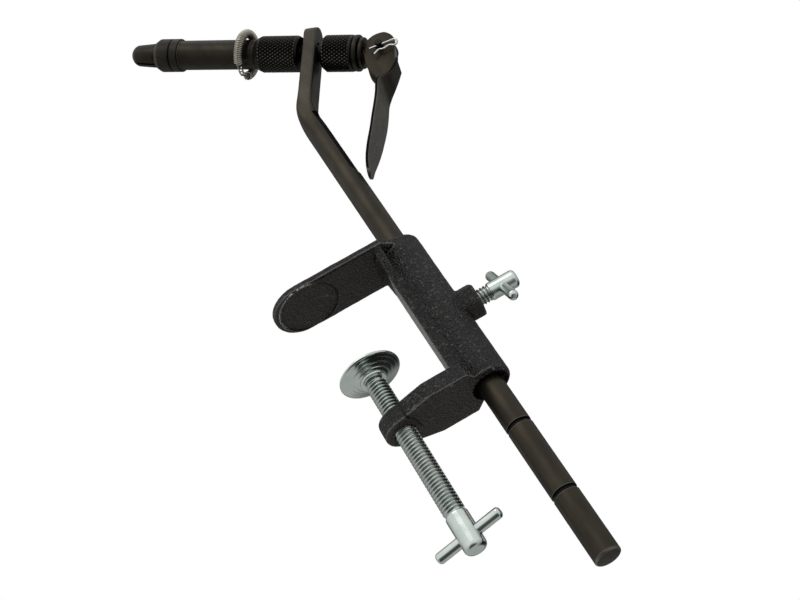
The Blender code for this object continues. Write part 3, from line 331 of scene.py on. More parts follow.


# Rows of (height, drop below the bar's surface, wear), in millimetres, from the foot up. A wear of -1 on
# the groove floors paints them black: painted shade.
stations = [
    (-144.9, -0.75, 0), (-144.85, -0.45, 0.8), (-144.6, -0.15, 1), (-144.3, 0, 0.4), (-143.8, 0, 0),
]
groove_side = [(1.1, 0, 0), (0.85, 0, 0.5), (0.75, -0.08, 0.3), (0.7, -0.2, -1), (0.6, -0.65, -1)]
for groove in (118.7, 88.9):
    stations += [(-groove - reach, drop, amount) for reach, drop, amount in groove_side]
    stations += [(-groove + reach, drop, amount) for reach, drop, amount in reversed(groove_side)]
rings, wears_and_painted_light, runs = [], [], []
for height, drop, amount in stations:
    radius = post_radius + drop * MM
    rings.append(post_ring(height * MM - bend_start, radius, radius, 2))
    wears_and_painted_light.append(amount)
    runs.append(height * MM)
forge_steps = 40
for index in range(forge_steps + 1):
    share = index / forge_steps
    run = -forged_run + (bend_run + 2 * forged_run) * share
    blend = share * share * (3 - 2 * share)
    rings.append(post_ring(
        run,
        post_radius + (plate_half_width - post_radius) * blend,
        post_radius + (plate_half_thickness - post_radius) * blend,
        2 + 6 * blend,
    ))
    wears_and_painted_light.append(0.08 * blend * blend)
    runs.append(bend_start + run)
round_start = plate_run + 7 * MM
top_steps, thinned_from = 18, 14
for index in range(top_steps + 1):
    angle = math.pi / 2 * min(index / top_steps, 0.985)
    run = round_start + plate_half_width * math.sin(angle)
    thin = 0.45 * MM * max(0, (index - thinned_from) / (top_steps - thinned_from)) ** 2
    rings.append(post_ring(run, plate_half_width * math.cos(angle), plate_half_thickness - thin, 8))
    wears_and_painted_light.append(0.4 if index > thinned_from else 0.08)
    runs.append(bend_start + run)
shape = new_shape()
skin(shape, rings, wears_and_painted_light, runs)
bar_oxide = black_oxide("brown_black_oxide_bar", "#1b1a17", "#3b352a", 0.40, True)
post = new_piece("post_stem", shape, bar_oxide, sharp=30)

# The barrel passes through a slot in the plate, where the head tilts.
pivot = Vector((0.050506, 0, 0.118734))
plate_turn = Matrix.Translation(pivot) @ Matrix.Rotation(lean - math.pi / 2, 4, "Y")
tool_depth = 12 * MM
slot_half = 3.9 * MM
slot_spread = 0.62 * MM
slot_sides = 40
slot_outline = []
for index in range(slot_sides):
    angle = 2 * math.pi * (index + 0.5) / slot_sides
    slot_outline.append((
        slot_half * math.cos(angle) + math.copysign(slot_spread, math.cos(angle)),
        slot_half * math.sin(angle),
    ))
slot_tool = prism("slot_tool", slot_outline, tool_depth, plate_turn)

# The flat faces the rear, turned a little to the near side, and runs out in a cutter's curve.
flat_angle = math.radians(24)
flat_foot = 45 * MM
flat_turn = Matrix.Translation((post_x, 0, 0)) @ Matrix.Rotation(-flat_angle, 4, "Z")
flat_turn = flat_turn @ Matrix.Rotation(math.pi / 2, 4, "X")
cutter_radius, cutter_x, cutter_z = 6 * MM, 9.83 * MM, 48 * MM
flat_outline = [(6.7 * MM, bend_start), (3.83 * MM, bend_start)]
for index in range(17):
    angle = math.pi + math.pi / 3 * index / 16
    flat_outline.append((
        cutter_x + cutter_radius * math.cos(angle), cutter_z + cutter_radius * math.sin(angle),
    ))
flat_outline.append((9.7 * MM, 42 * MM))
flat_tool = prism("flat_tool", flat_outline, tool_depth, flat_turn)
cut_with(post, slot_tool, flat_tool)
smooth(post.data, 24)
# The milled flat is painted near black with no shine: painted shade, for a flat that lies in shadow.
painted_shade_black = black_oxide("painted_shade_flat_black", "#070706", "#0e0d0c", 0.75, False)
flat_shader = painted_shade_black.node_tree.nodes["Principled BSDF"]
painted_shade_black.node_tree.links.remove(flat_shader.inputs["Base Color"].links[0])
feed(flat_shader, {"Base Color": srgb("#0a0a09"), "Metallic": 0.0, "Specular IOR Level": 0.05})
paint(post.data, bar_oxide, painted_shade_black)
# Painted shade: the faces of the flat take the near-black material.
flat_facing = Vector((math.cos(flat_angle), -math.sin(flat_angle), 0))
for face in post.data.polygons:
    milled = face.normal.dot(flat_facing) > 0.9995 and flat_foot < face.center.z < bend_start
    face.material_index = 1 if milled else 0
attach(post, "stem")
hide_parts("post")


# Clamp casting
# The C clamp is one iron casting, coated in granular black enamel that sparkles a little.
# Only the round bench seat under the upper jaw and the throat's back face are machined.
shape = bmesh.new()
shape.from_mesh(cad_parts["clamp_body"].data)
bmesh.ops.remove_doubles(shape, verts=shape.verts, dist=0.01 * MM)
casting = new_piece("clamp_casting", shape)
step = casting.modifiers.new("one skin", "REMESH")
step.mode = "VOXEL"
step.voxel_size = 0.41 * MM
step = casting.modifiers.new("soft sand-cast edges", "SMOOTH")
step.factor = 0.5
step.iterations = 4
mesh = baked(casting)
bore_zone = 5.6 * MM
normals = [vert.normal.copy() for vert in mesh.vertices]
for vert, normal in zip(mesh.vertices, normals):
    place = vert.co
    waves = noise.noise(place * 140) * 0.07 + noise.noise(place * 420) * 0.05
    grit = noise.noise(place * 1500) * 0.035
    if (place.x - post_x) ** 2 + place.y ** 2 >= bore_zone ** 2:
        vert.co = place + normal * ((waves + grit - 0.02) * MM)


def millimetres(outline):
    """(radius, height) points in millimetres, turned into metres."""
    return [(r * MM, h * MM) for r, h in outline]


def circle(place, radius, height, sides):
    """Points round the local Z axis of a place."""
    angles = [2 * math.pi * k / sides for k in range(sides)]
    return [place @ Vector((radius * math.cos(a), radius * math.sin(a), height)) for a in angles]


def lathe(shape, points, place, sides=96, loop=False):
    """Turn (radius, height, wear) points, top to bottom, about the local Z axis of a place; a wear below
    zero is painted shade.
    """
    tiny = 0.002 * MM
    rings, wears_and_painted_light, runs = [], [], []
    run = 0
    for index, (radius, height, amount) in enumerate(points):
        if index:
            run += math.dist(points[index][:2], points[index - 1][:2])
        rings.append(circle(place, max(radius, tiny), height, sides))
        wears_and_painted_light.append(amount)
        runs.append(run)
    skin(shape, rings, wears_and_painted_light, runs, loop=loop)


seat_x, seat_radius, seat_height = -6 * MM, 11.8 * MM, 1.6 * MM
seat_outline = [
    (seat_x + seat_radius * math.cos(math.pi * k / 48), seat_radius * math.sin(math.pi * k / 48))
    for k in range(96)
]
seat_tool = prism("seat_tool", seat_outline, seat_height, Matrix.Translation((0, 0, -seat_height / 2)))
# A countersink opens the post's bore at the foot of the spine.
countersink = millimetres([(0, -65.9), (5.3, -65.9), (7.3, -69.6), (0, -69.6)])
shape = new_shape()
lathe(shape, [(*point, 0) for point in countersink], Matrix.Translation((post_x, 0, 0)), sides=64)
countersink_tool = new_piece("countersink_tool", shape)
cut_with(casting, seat_tool, countersink_tool)
smooth(casting.data, 50)


def granular_enamel():
    """Black enamel over sand-cast iron: pebbled, with worn bare places, painted glints on its grains and
    painted light and shade on its edges, corners and undersides.
    """
    made, tree, shader = new_material("granular_black_enamel")
    place = add(tree, "TexCoord").outputs["Object"]
    x, y, z = add(tree, "SeparateXYZ", [place]).outputs
    geometry = add(tree, "NewGeometry").outputs
    facing = add(tree, "SeparateXYZ", [geometry["Normal"]]).outputs
    clouds = add(tree, "TexNoise", {"Vector": place, "Scale": 160.0, "Detail": 4.0})
    colour = add(tree, "Mix", {0: clouds, 6: srgb("#0c0d0e"), 7: srgb("#1e1e1d")}, data_type="RGBA")
    # Grains about 0.7 mm across; the real grit is finer and is drawn coarser so that it shows. The lightest
    # grains are painted glints: painted highlights for the enamel's sparkle.
    grains = add(tree, "TexVoronoi", {"Vector": place, "Scale": 1400.0})
    painted_glint = add(tree, "MapRange", [grains.outputs["Color"], 0.72, 0.96, 0.0, 0.30])
    # The downward faces are painted lighter and browner: painted light on the undersides.
    painted_underside_light = add(tree, "MapRange", [facing[2], -0.80, -0.95, 0.0, 0.6])
    # Along each rounded lower edge, faces turned slightly down are painted lighter as a painted highlight,
    # and faces turned further down are painted black as painted shade. The web between the jaw and the arm
    # has neither.
    web_side = add(tree, "Math", [x, 36 * MM], operation="LESS_THAN")
    web_run = add(tree, "Math", [z, -32 * MM, 30 * MM], operation="COMPARE")
    web_side = add(tree, "Math", [web_side, web_run], operation="SUBTRACT", use_clamp=True)
    lines = []
    for middle, spread, amount in ((-0.16, 0.12, 0.30), (-0.60, 0.30, 0.9)):
        line = add(tree, "Math", [facing[2], middle, spread], operation="COMPARE")
        for factor in (web_side, amount):
            line = add(tree, "Math", [line, factor], operation="MULTIPLY")
        lines.append(line)
    # The casting's outer edges are painted lighter as a painted highlight, and its corners painted black as
    # painted shade.
    edge = geometry["Pointiness"]
    outer = add(tree, "MapRange", [edge, 0.51, 0.57, 0.0, 0.35])
    painted_corner_shade = add(tree, "MapRange", [edge, 0.495, 0.44, 0.0, 0.9])
    # The throat's back face is machined bare, so it reads as a light grey strip.
    strip = add(tree, "MapRange", [facing[0], -0.90, -0.98, 0.0, 1.0])
    for along, middle, reach in ((x, 24 * MM, 0.8 * MM), (z, -34.5 * MM, 23.5 * MM)):
        within = add(tree, "Math", [along, middle, reach], operation="COMPARE")
        strip = add(tree, "Math", [strip, within], operation="MULTIPLY")
    # Distances from the upright axes of the seat and of the post.
    offsets, distances = [], []
    for axis_x in (seat_x, post_x):
        offset = add(tree, "VectorMath", [place, (axis_x, 0.0, 0.0)], operation="SUBTRACT")
        offset = add(tree, "VectorMath", [offset, (1.0, 1.0, 0.0)], operation="MULTIPLY")
        offsets.append(offset)
        distances.append(add(tree, "VectorMath", [offset], operation="LENGTH"))
    # Enamel has chipped off the rim of the seat towards the jaw's tip and near side.
    rim = add(tree, "Math", [distances[0], 11.9 * MM, 0.45 * MM], operation="COMPARE")
    below = add(tree, "MapRange", [z, 0.6 * MM, 0.2 * MM, 0.0, 1.0])
    side = add(tree, "VectorMath", [offsets[0], (-0.75, -0.66, 0.0)], operation="DOT_PRODUCT")
    side = add(tree, "MapRange", [side, 2 * MM, 9 * MM, 0.0, 1.0])
    flakes = add(tree, "TexNoise", {"Vector": place, "Scale": 900.0, "Detail": 3.0})
    chips = add(tree, "MapRange", [flakes, 0.46, 0.50, 0.0, 1.0])
    for mask in (rim, below, side):
        chips = add(tree, "Math", [chips, mask], operation="MULTIPLY")
    bare = add(tree, "Math", [strip, chips], operation="MAXIMUM")
    # On its near half the rim is a sharp step that stays in shadow, as is the jaw's lower crease.
    shade = add(tree, "Math", [y, 1 * MM], operation="LESS_THAN")
    shade = add(tree, "Math", [shade, side], operation="SUBTRACT", use_clamp=True)
    shade = add(tree, "Math", [shade, rim], operation="MULTIPLY")
    outward = add(tree, "Math", [y], operation="ABSOLUTE")
    crease = add(tree, "Math", [outward, 11.5 * MM, 0.3 * MM], operation="COMPARE")
    for along, limit in ((x, -1 * MM), (z, -2 * MM)):
        past = add(tree, "Math", [along, limit], operation="GREATER_THAN")
        crease = add(tree, "Math", [crease, past], operation="MULTIPLY")
    shade = add(tree, "Math", [shade, crease], operation="MAXIMUM")
    shade = add(tree, "Math", [shade, below], operation="MULTIPLY")
    # The countersink round the post is painted near black: painted shade in the recess.
    painted_countersink_shade = add(tree, "Math", [distances[1], 7.3 * MM], operation="LESS_THAN")
    # Each layer lies over the ones before it; all but the last, the bare metal, are painted light or
    # painted shade.
    for mask, code in (
        (painted_glint, "#77756f"), (painted_underside_light, "#2c2722"), (lines[0], "#7b7872"), (lines[1], "#030303"),
        (outer, "#66635e"), (painted_corner_shade, "#040404"), (shade, "#040404"), (painted_countersink_shade, "#030303"),
        (bare, "#a9a8a3"),
    ):
        colour = add(tree, "Mix", {0: mask, 6: colour, 7: srgb(code)}, data_type="RGBA")
    pebbles = add(tree, "TexNoise", {"Vector": place, "Scale": 1000.0, "Detail": 4.0})
    rough = add(tree, "Math", [pebbles, grains.outputs["Distance"]], operation="ADD")
    bump = add(tree, "Bump", {"Strength": 1.0, "Distance": 0.6 * MM, "Height": rough})
    feed(shader, {
        "Base Color": colour, "Metallic": bare, "Roughness": 0.34, "Specular IOR Level": 0.22,
        "Normal": bump,
    })
    return made


paint(casting.data, granular_enamel())
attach(casting, "clamp")
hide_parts("clamp_body")


# Clamp pad
# A shallow turned dish of zinc-plated steel on the screw's end. Its top bears on the bench and
# its underside shows the lathe's rings round a raised hub.
def eased(outline, ease, guard=0.25 * MM):
    """Round each corner of a (radius, height) outline; outward corners carry wear."""
    same_point, straight_bend, most_of_side = 0.0001 * MM, 0.12, 0.42
    points = [(*outline[0], 0)]
    for before, corner, after in zip(outline, outline[1:], outline[2:]):
        here = Vector(corner)
        to_first, to_last = Vector(before) - here, Vector(after) - here
        if to_first.length < same_point or to_last.length < same_point:
            continue
        size = min(ease, most_of_side * to_first.length, most_of_side * to_last.length)
        bend = to_first.normalized().cross(to_last.normalized())
        if abs(bend) < straight_bend:
            points.append((*corner, 0))
            continue
        amount = 0.9 if bend < 0 else 0
        start = here + to_first.normalized() * size
        end = here + to_last.normalized() * size
        spare = min(guard, 0.05 * to_first.length)
        points.append((*(start + to_first.normalized() * spare), 0))
        for share in (0, 0.25, 0.5, 0.75, 1):
            place = start * (1 - share) ** 2 + here * (2 * share * (1 - share)) + end * share ** 2
            points.append((*place, amount * (1 - abs(2 * share - 1))))
        spare = min(guard, 0.05 * to_last.length)
        points.append((*(end + to_last.normalized() * spare), 0))
    points.append((*outline[-1], 0))
    return points


def turned(name, outline, ease, place, material, sides, sharp, loop=False):
    """A turned piece from (radius, height) points in millimetres, its corners eased."""
    shape = new_shape()
    lathe(shape, eased(millimetres(outline), ease * MM), place, sides=sides, loop=loop)
    return new_piece(name, shape, material, sharp=sharp)


def bright_zinc(name, roughness, lines_height):
    """Bright zinc plate over turned steel: mirror-like, slightly blue, with faint tool lines."""
    made, tree, shader = new_material(name)
    place = add(tree, "TexCoord").outputs["Object"]
    # Clouds about 5 mm wide are the plating's uneven thickness.
    clouds = add(tree, "TexNoise", {"Vector": place, "Scale": 200.0, "Detail": 3.0})
    colour = add(tree, "Mix", {0: clouds, 6: srgb("#a3b3b0"), 7: srgb("#cfd3cb")}, data_type="RGBA")
    # Thread roots, where the mesh's wear value is below zero, are painted grey: painted shade.
    wear_and_painted_light = add(tree, "Attribute", attribute_name="wear_and_painted_light").outputs["Fac"]
    painted_groove_shade = add(tree, "MapRange", [wear_and_painted_light, -0.30, -0.95, 0.0, 0.6])
    colour = add(tree, "Mix", {0: painted_groove_shade, 6: colour, 7: srgb("#3c3c37")}, data_type="RGBA")
    gloss = add(tree, "MapRange", [clouds, 0.3, 0.7, roughness - 0.05, roughness + 0.08])
    lines = add(tree, "Mapping", {
        "Vector": add(tree, "UVMap", uv_map="turned"), "Scale": (0.0, 90.0, 1.0),
    })
    rings = add(tree, "TexNoise", {"Vector": lines, "Scale": 1.0, "Detail": 2.0})
    bump = add(tree, "Bump", {"Strength": lines_height, "Distance": 0.1 * MM, "Height": rings})
    feed(shader, {"Base Color": colour, "Metallic": 1.0, "Roughness": gloss, "Normal": bump})
    return made


zinc = bright_zinc("bright_zinc_plate", 0.16, 0.03)
pad_outline = [(0, -39.4), (11.0, -39.4), (11.7, -39.7), (11.7, -40.3), (11.2, -40.62)]
for outer, drop in ((11.2, 40.62), (9.55, 41.15), (7.9, 41.8), (6.35, 42.5)):
    pad_outline += [
        (outer - 0.15, -drop - 0.02), (outer - 1.1, -drop - 0.34), (outer - 1.45, -drop - 0.40),
    ]
pad_outline += [
    (5.2, -43.1), (5.1, -43.75), (4.35, -43.82), (2.72, -43.82), (2.72, -41.1), (0, -41.1),
]
pad = turned("pad_dish", pad_outline, 0.35, Matrix(), zinc, sides=128, sharp=30)
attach(pad, "pad")
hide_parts("clamp_pad")


# Clamp screw
# A 5/16 inch steel screw in bright zinc, threaded from the pad down, with a plain round head
# that its cross bar passes through.
def thread(shape, place, outer, depth, pitch, top, bottom, sides=48):
    """A helical thread, closed at both ends, whose crests shine and whose roots are painted dark as painted
    shade.
    """
    wear_and_painted_light = shape.verts.layers.float["wear_and_painted_light"]
    # One pitch from root to root, as shares of the pitch and of the depth.
    profile = (
        (0, 0.06), (0.10, 0), (0.20, 0.06), (0.36, 0.5), (0.50, 0.94), (0.60, 1), (0.70, 0.94), (0.86, 0.5),
    )
    rows = len(profile)
    turns = int((top - bottom) / pitch) + 2
    columns = []
    for index in range(sides):
        angle = 2 * math.pi * index / sides
        column = []
        for row in range(turns * rows):
            share, low = profile[row % rows]
            height = bottom - pitch + pitch * (row // rows + share + index / sides)
            fade = min(1, max(0, (height - bottom) / pitch), max(0, (top - height) / pitch))
            height = min(max(height, bottom), top)
            radius = outer - depth * (1 - (1 - low) * fade)
            vert = shape.verts.new(place @ Vector((
                radius * math.cos(angle), radius * math.sin(angle), height,
            )))
            # Roots take a wear value below zero: painted shade.
            vert[wear_and_painted_light] = -(1 - low) * fade
            column.append(vert)
        columns.append(column)
    for index in range(sides):
        here = columns[index]
        after = columns[(index + 1) % sides]
        shift = rows if index == sides - 1 else 0
        for row in range(turns * rows - 1):
            if row >= shift:
                shape.faces.new((
                    here[row], after[row - shift], after[row + 1 - shift], here[row + 1],
                ))
    # The rows flattened at the thread's ends are welded and capped.
    bmesh.ops.remove_doubles(shape, verts=shape.verts, dist=0.002 * MM)
    bmesh.ops.dissolve_degenerate(shape, edges=shape.edges, dist=0.002 * MM)
    open_edges = [edge for edge in shape.edges if edge.is_boundary]
    bmesh.ops.holes_fill(shape, edges=open_edges, sides=0)
    bmesh.ops.triangulate(shape, faces=[face for face in shape.faces if len(face.verts) > 4])


shape = new_shape()
thread(shape, Matrix(), 3.9 * MM, 0.72 * MM, 1.41 * MM, -44.1 * MM, -105.3 * MM)
zinc_thread = bright_zinc("bright_zinc_thread", 0.18, 0.0)
head = [(0, -104.9), (3.3, -104.9), (4.1, -105.6), (4.1, -118.6), (3.6, -119.6), (2.6, -120), (0, -120)]
lathe(shape, eased(millimetres(head), 0.5 * MM), Matrix())
stub = [(0, -41.4), (2.6, -41.4), (2.6, -44.4), (0, -44.4)]
lathe(shape, eased(millimetres(stub), 0.2 * MM), Matrix(), sides=48)
screw = new_piece("clamp_screw_thread", shape, zinc_thread, sharp=60)
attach(screw, "screw")
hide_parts("clamp_screw")


# Cross bar of the clamp screw
# A short round bar pressed through the screw's head, with chamfered ends to turn it by hand.
bar_place = (
    Matrix.Translation((0, 0, -114 * MM)) @ Matrix.Rotation(math.radians(-17.4), 4, "Z")
    @ Matrix.Rotation(math.pi / 2, 4, "Y")
)
bar_outline = [(0, 13.2), (1.25, 13.2), (2.0, 12.45), (2.0, -12.45), (1.25, -13.2), (0, -13.2)]
bar = turned("clamp_cross_bar", bar_outline, 0.4, bar_place, zinc, sides=64, sharp=40)
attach(bar, "screw")
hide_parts("clamp_tommy_bar")


# Lock screw
# A 1/4 inch screw in bright zinc that presses on the post through the boss. Five threads show
# between the boss and its plain rounded head.
lock_height = -34.6 * MM
lock_place = Matrix.Translation((post_x, 0, lock_height)) @ Matrix.Rotation(math.pi / 2, 4, "Y")
shape = new_shape()
thread(shape, lock_place, 3.175 * MM, 0.55 * MM, 1.27 * MM, 19.0 * MM, 5.1 * MM, sides=40)
lock_head = [(0, 29.8), (2.5, 29.8), (3.4, 28.9), (3.4, 18.9), (3.0, 18.4), (0, 18.4)]
lathe(shape, eased(millimetres(lock_head), 0.6 * MM), lock_place, sides=80)
lock = new_piece("lock_screw_thread", shape, zinc_thread, sharp=60)
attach(lock, "post_lock")
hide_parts("lock_screw")


# Cross bar of the lock screw
# The same kind of bar, a little thinner, through the lock screw's head.
lock_bar_place = (
    Matrix.Translation((post_x + 23.6 * MM, 0, lock_height)) @ Matrix.Rotation(math.radians(-31.5), 4, "X")
)
lock_bar = [(0, 14.0), (1.0, 14.0), (1.9, 13.1), (1.9, -13.1), (1.0, -14.0), (0, -14.0)]
lock_cross = turned("lock_cross_bar_round", lock_bar, 0.5, lock_bar_place, zinc, sides=64, sharp=40)
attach(lock_cross, "post_lock")
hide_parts("lock_cross_bar")


# Collet sleeve
# A turned tube in dark oxide: a short neck behind, a long plain tube, a narrow groove and the
# heavy nose collar, whose front cone ends in a thin lip round the jaws.
head_oxide = black_oxide("dark_black_oxide_turned", "#161512", "#2c281f", 0.36, True)
# The head's own Z axis points from the pivot to the nose, up and away from the post.
head_turn = Matrix((
    (0.6306758, 0, -0.7760464, pivot.x),
    (0, 1, 0, pivot.y),
    (0.7760464, 0, 0.6306758, pivot.z),
    (0, 0, 0, 1),
))
sleeve_outline = millimetres([
    (4.6, 69.9), (5.05, 71.1), (5.4, 72.2), (5.8, 72.3), (7.15, 70.2), (7.15, 64.95), (6.75, 64.8),
    (6.75, 64.3), (7.15, 64.15), (7.15, 60.75), (6.2, 60.7), (6.2, 60.05), (6.35, 60.0), (6.35, 26.95),
    (6.26, 26.9), (6.26, 24.75), (3.75, 24.75), (3.75, 27.7), (4.5, 27.8),
])


def in_groove(radius, height):
    """Whether a point lies in the sleeve's narrow groove, which is painted dark as painted shade."""
    return 6.6 * MM < radius < 7.05 * MM and 64 * MM < height < 65 * MM


# Points in the groove take a wear value of -1: painted shade.
sleeve_points = [
    (radius, height, -1 if in_groove(radius, height) else amount)
    for radius, height, amount in eased(sleeve_outline, 0.35 * MM)
]
shape = new_shape()
lathe(shape, sleeve_points, head_turn, sides=112, loop=True)
sleeve = new_piece("collet_sleeve_tube", shape, head_oxide, sharp=34)
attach(sleeve, "head")
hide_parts("collet_sleeve")


# Collet jaws
# The two halves of the split collet, black inside and out, with a blunt rounded nose. The
# hook is gripped in the slit between them.
def half_jaw(name, side):
    """One half of the turned collet, cut along the slit, with its relieved leg."""
    shape = new_shape()
    outline = [(0, 84.83)]
    for index in range(1, 17):
        angle = math.pi / 2 * index / 16
        outline.append((4.62 * math.sin(angle), 81.03 + 3.8 * math.cos(angle) ** 1.1))
    outline += [(5.2, 73.6), (5.15, 73.2), (4.86, 72.4), (4.1, 69.33), (4.1, 43.93), (0, 43.93)]
    lathe(shape, [(*point, 0) for point in millimetres(outline)], head_turn)
    jaw = new_piece(name, shape, head_oxide)
    # One tool takes away the other half with the slit, and one hollows the springing leg.
    tools = []
    for tool_name, low, high, depth, middle in (
        ("slit_tool", -side * 8, side * 0.55, 60, 65), ("relief_tool", -1.8, 1.8, 19.4, 59.1),
    ):
        outline = millimetres([(-8, low), (8, low), (8, high), (-8, high)])
        place = head_turn @ Matrix.Translation((0, 0, middle * MM))
        tools.append(prism(tool_name, outline, depth * MM, place))
    cut_with(jaw, *tools)
    rims = jaw.modifiers.new("eased slit rims", "BEVEL")
    rims.width = 0.18 * MM
    rims.segments = 2
    rims.limit_method = "ANGLE"
    rims.angle_limit = math.radians(50)
    baked(jaw)
    smooth(jaw.data, 35)
    return jaw


for name, side, body in (("near", -1, "jaw_near"), ("far", 1, "jaw_far")):
    jaw = half_jaw("jaw_half_" + name, side)
    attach(jaw, body)
    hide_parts("collet_jaw_" + name)


# Front knurled nut
# The long nut that pulls the head against the plate, with a diamond knurl whose points are painted bright
# as a painted highlight and whose valleys are painted dark as painted shade, and a long chamfer in front.
def knurl(shape, place, rows_in, rows_out, radius, depth, top, bottom, around, length):
    """Turned ends with a band of raised diamonds between them, all in one closed skin.

    rows_in and rows_out are the plain (radius, height) rows above and below the band.
    """
    wear_and_painted_light = shape.verts.layers.float["wear_and_painted_light"]
    sides = 2 * around
    rows = 2 * max(1, round((top - bottom) / length))

    def ring(radius, height):
        return [shape.verts.new(point) for point in circle(place, radius, height, sides)]

    chain = [ring(r, h) for r, h in rows_in]
    lattice = []
    for row in range(rows + 1):
        height = top + (bottom - top) * row / rows
        peaks = circle(place, radius, height, sides)
        valleys = circle(place, radius - depth, height, sides)
        made = []
        for k in range(sides):
            peak = (k + row) % 2
            vert = shape.verts.new(peaks[k] if peak else valleys[k])
            # Painted light: each point takes a wear value that paints a highlight, each valley one that
            # paints shade.
            vert[wear_and_painted_light] = 0.9 if peak else -0.9
            made.append(vert)
        lattice.append(made)
    # The plain rows close on each other through the bore, from the last row to the first.
    chain = [lattice[-1]] + [ring(r, h) for r, h in rows_out] + chain + [lattice[0]]
    for upper, lower in zip(chain, chain[1:]):
        for k in range(sides):
            after = (k + 1) % sides
            shape.faces.new((upper[k], lower[k], lower[after], upper[after]))
    for row in range(rows + 1):
        for k in range(sides):
            if (k + row) % 2 == 0:
                continue
            peak = lattice[row][k]
            for other in (row - 1, row + 1):
                if 0 <= other <= rows:
                    for valley in (lattice[row][k - 1], lattice[row][(k + 1) % sides]):
                        shape.faces.new((lattice[other][k], valley, peak))


knurl_oxide = black_oxide("knurled_black_oxide", "#100f0d", "#1c1a16", 0.34, False)
knurl_radius, knurl_depth, diamonds_around, diamond_length = 7.87 * MM, 0.55 * MM, 32, 2.3 * MM
shape = new_shape()
knurl(
    shape, head_turn,
    millimetres([(3.8, 24.43), (6.5, 24.43), (6.78, 24.3), (7.35, 23.1), (7.62, 22.35)]),
    millimetres([(7.6, 5.9), (7.25, 5.2), (6.9, 4.85), (3.8, 4.84)]),
    knurl_radius, knurl_depth, 22.1 * MM, 6.1 * MM, diamonds_around, diamond_length,
)
front_nut = new_piece("front_nut_knurl", shape, knurl_oxide, sharp=20)
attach(front_nut, "front_nut")
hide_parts("front_knurled_nut")


# Rear knurled nut
# The shorter nut behind the plate, with the same knurl and a turned hub that meets the plate.
shape = new_shape()
knurl(
    shape, head_turn,
    millimetres([
        (3.8, -4.26), (4.4, -4.26), (4.62, -4.4), (4.65, -5.25), (6.3, -5.32), (6.6, -5.5), (7.55, -6.75),
    ]),
    millimetres([(7.62, -18.3), (7.62, -19.05), (7.35, -19.38), (3.8, -19.38)]),
    knurl_radius, knurl_depth, -7.0 * MM, -18.1 * MM, diamonds_around, diamond_length,
)
rear_nut = new_piece("rear_nut_knurl", shape, knurl_oxide, sharp=20)
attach(rear_nut, "rear_nut")
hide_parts("rear_knurled_nut")


# Jam ring
# A plain turned ring behind the rear nut, a little smaller, with bright rubbed edges.
jam_outline = [
    (3.8, -19.72), (7.3, -19.72), (7.7, -20.1), (7.7, -21.4), (7.35, -21.78), (3.8, -21.78),
]
jam = turned("jam_ring_turned", jam_outline, 0.3, head_turn, head_oxide, sides=112, sharp=34, loop=True)
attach(jam, "head")
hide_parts("jam_ring")


# Thrust collar
# The thin hard collar that the lever's cam works against.
collar_outline = [
    (3.8, -22.12), (6.3, -22.12), (6.6, -22.45), (6.6, -23.5), (6.25, -23.88), (3.8, -23.88),
]
collar = turned(
    "thrust_collar_turned", collar_outline, 0.25, head_turn, head_oxide, sides=112, sharp=34, loop=True,
)
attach(collar, "head")
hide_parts("thrust_collar")


# Barrel
# The threaded steel tube in black oxide that passes through the plate's slot. It shows between
# the two nuts.
barrel_oxide = black_oxide("sooty_black_oxide_thread", "#11100e", "#1c1a17", 0.45, False)
thread_top, thread_pitch, thread_turns = 4.4, 0.45, 22
barrel_outline = [(2.42, 31.0), (4.35, 31.0), (4.35, 28.1), (3.6, 28.0), (3.6, thread_top)]
for index in range(thread_turns):
    height = thread_top - index * thread_pitch
    barrel_outline += [(3.6, height - 0.1), (3.42, height - 0.28), (3.6, height - thread_pitch)]
barrel_outline += [(3.6, -23.6), (2.42, -23.6)]
shape = new_shape()
lathe(shape, [(*point, 0) for point in millimetres(barrel_outline)], head_turn, sides=80, loop=True)
barrel = new_piece("barrel_tube", shape, barrel_oxide, sharp=30)
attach(barrel, "head")
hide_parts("barrel")


# Draw rod
# The steel rod that pulls the collet, turned and run through the barrel. Its flattened eye shows
# between the lever's cheeks, ground bare and light grey. It keeps its CAD solid.
rod_steel = black_oxide("ground_light_steel", "#6d6c68", "#93928d", 0.34, False)
draw_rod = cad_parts["draw_rod"]
paint(draw_rod.data, rod_steel)


# Return spring
# A short coil of spring wire inside the sleeve that opens the collet again. It keeps its CAD
# solid, because no view shows it.
def spring_wire(name, dark, light, roughness):
    """Bare drawn spring steel: grey and half bright, with soft clouds about 2 mm wide."""
    made, tree, shader = new_material(name)
    place = add(tree, "TexCoord").outputs["Object"]
    clouds = add(tree, "TexNoise", {"Vector": place, "Scale": 500.0, "Detail": 3.0})
    colour = add(tree, "Mix", {0: clouds, 6: srgb(dark), 7: srgb(light)}, data_type="RGBA")
    feed(shader, {"Base Color": colour, "Metallic": 1.0, "Roughness": roughness})
    return made


coil_steel = spring_wire("oiled_spring_wire", "#8c887d", "#bab6aa", 0.28)
return_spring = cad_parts["collet_return_spring"]
paint(return_spring.data, coil_steel)


# Clip spring
# A close-wound spring bent into a ring round the sleeve, to hold loose material. Its two long
# end hooks are linked at the lower left of the picture.
def tube(shape, points, radius, sides=8):
    """A round wire through points, with rings that turn as little as they can."""
    rings = []
    side = None
    for index, point in enumerate(points):
        before = points[max(index - 1, 0)]
        after = points[min(index + 1, len(points) - 1)]
        along = (after - before).normalized()
        if side is None:
            side = along.orthogonal().normalized()
        side = (side - along * side.dot(along)).normalized()
        place = Matrix((side, along.cross(side), along)).transposed().to_4x4()
        place.translation = point
        rings.append(circle(place, radius, 0, sides))
    runs = [index * radius for index in range(len(rings))]
    skin(shape, rings, [0] * len(rings), runs)


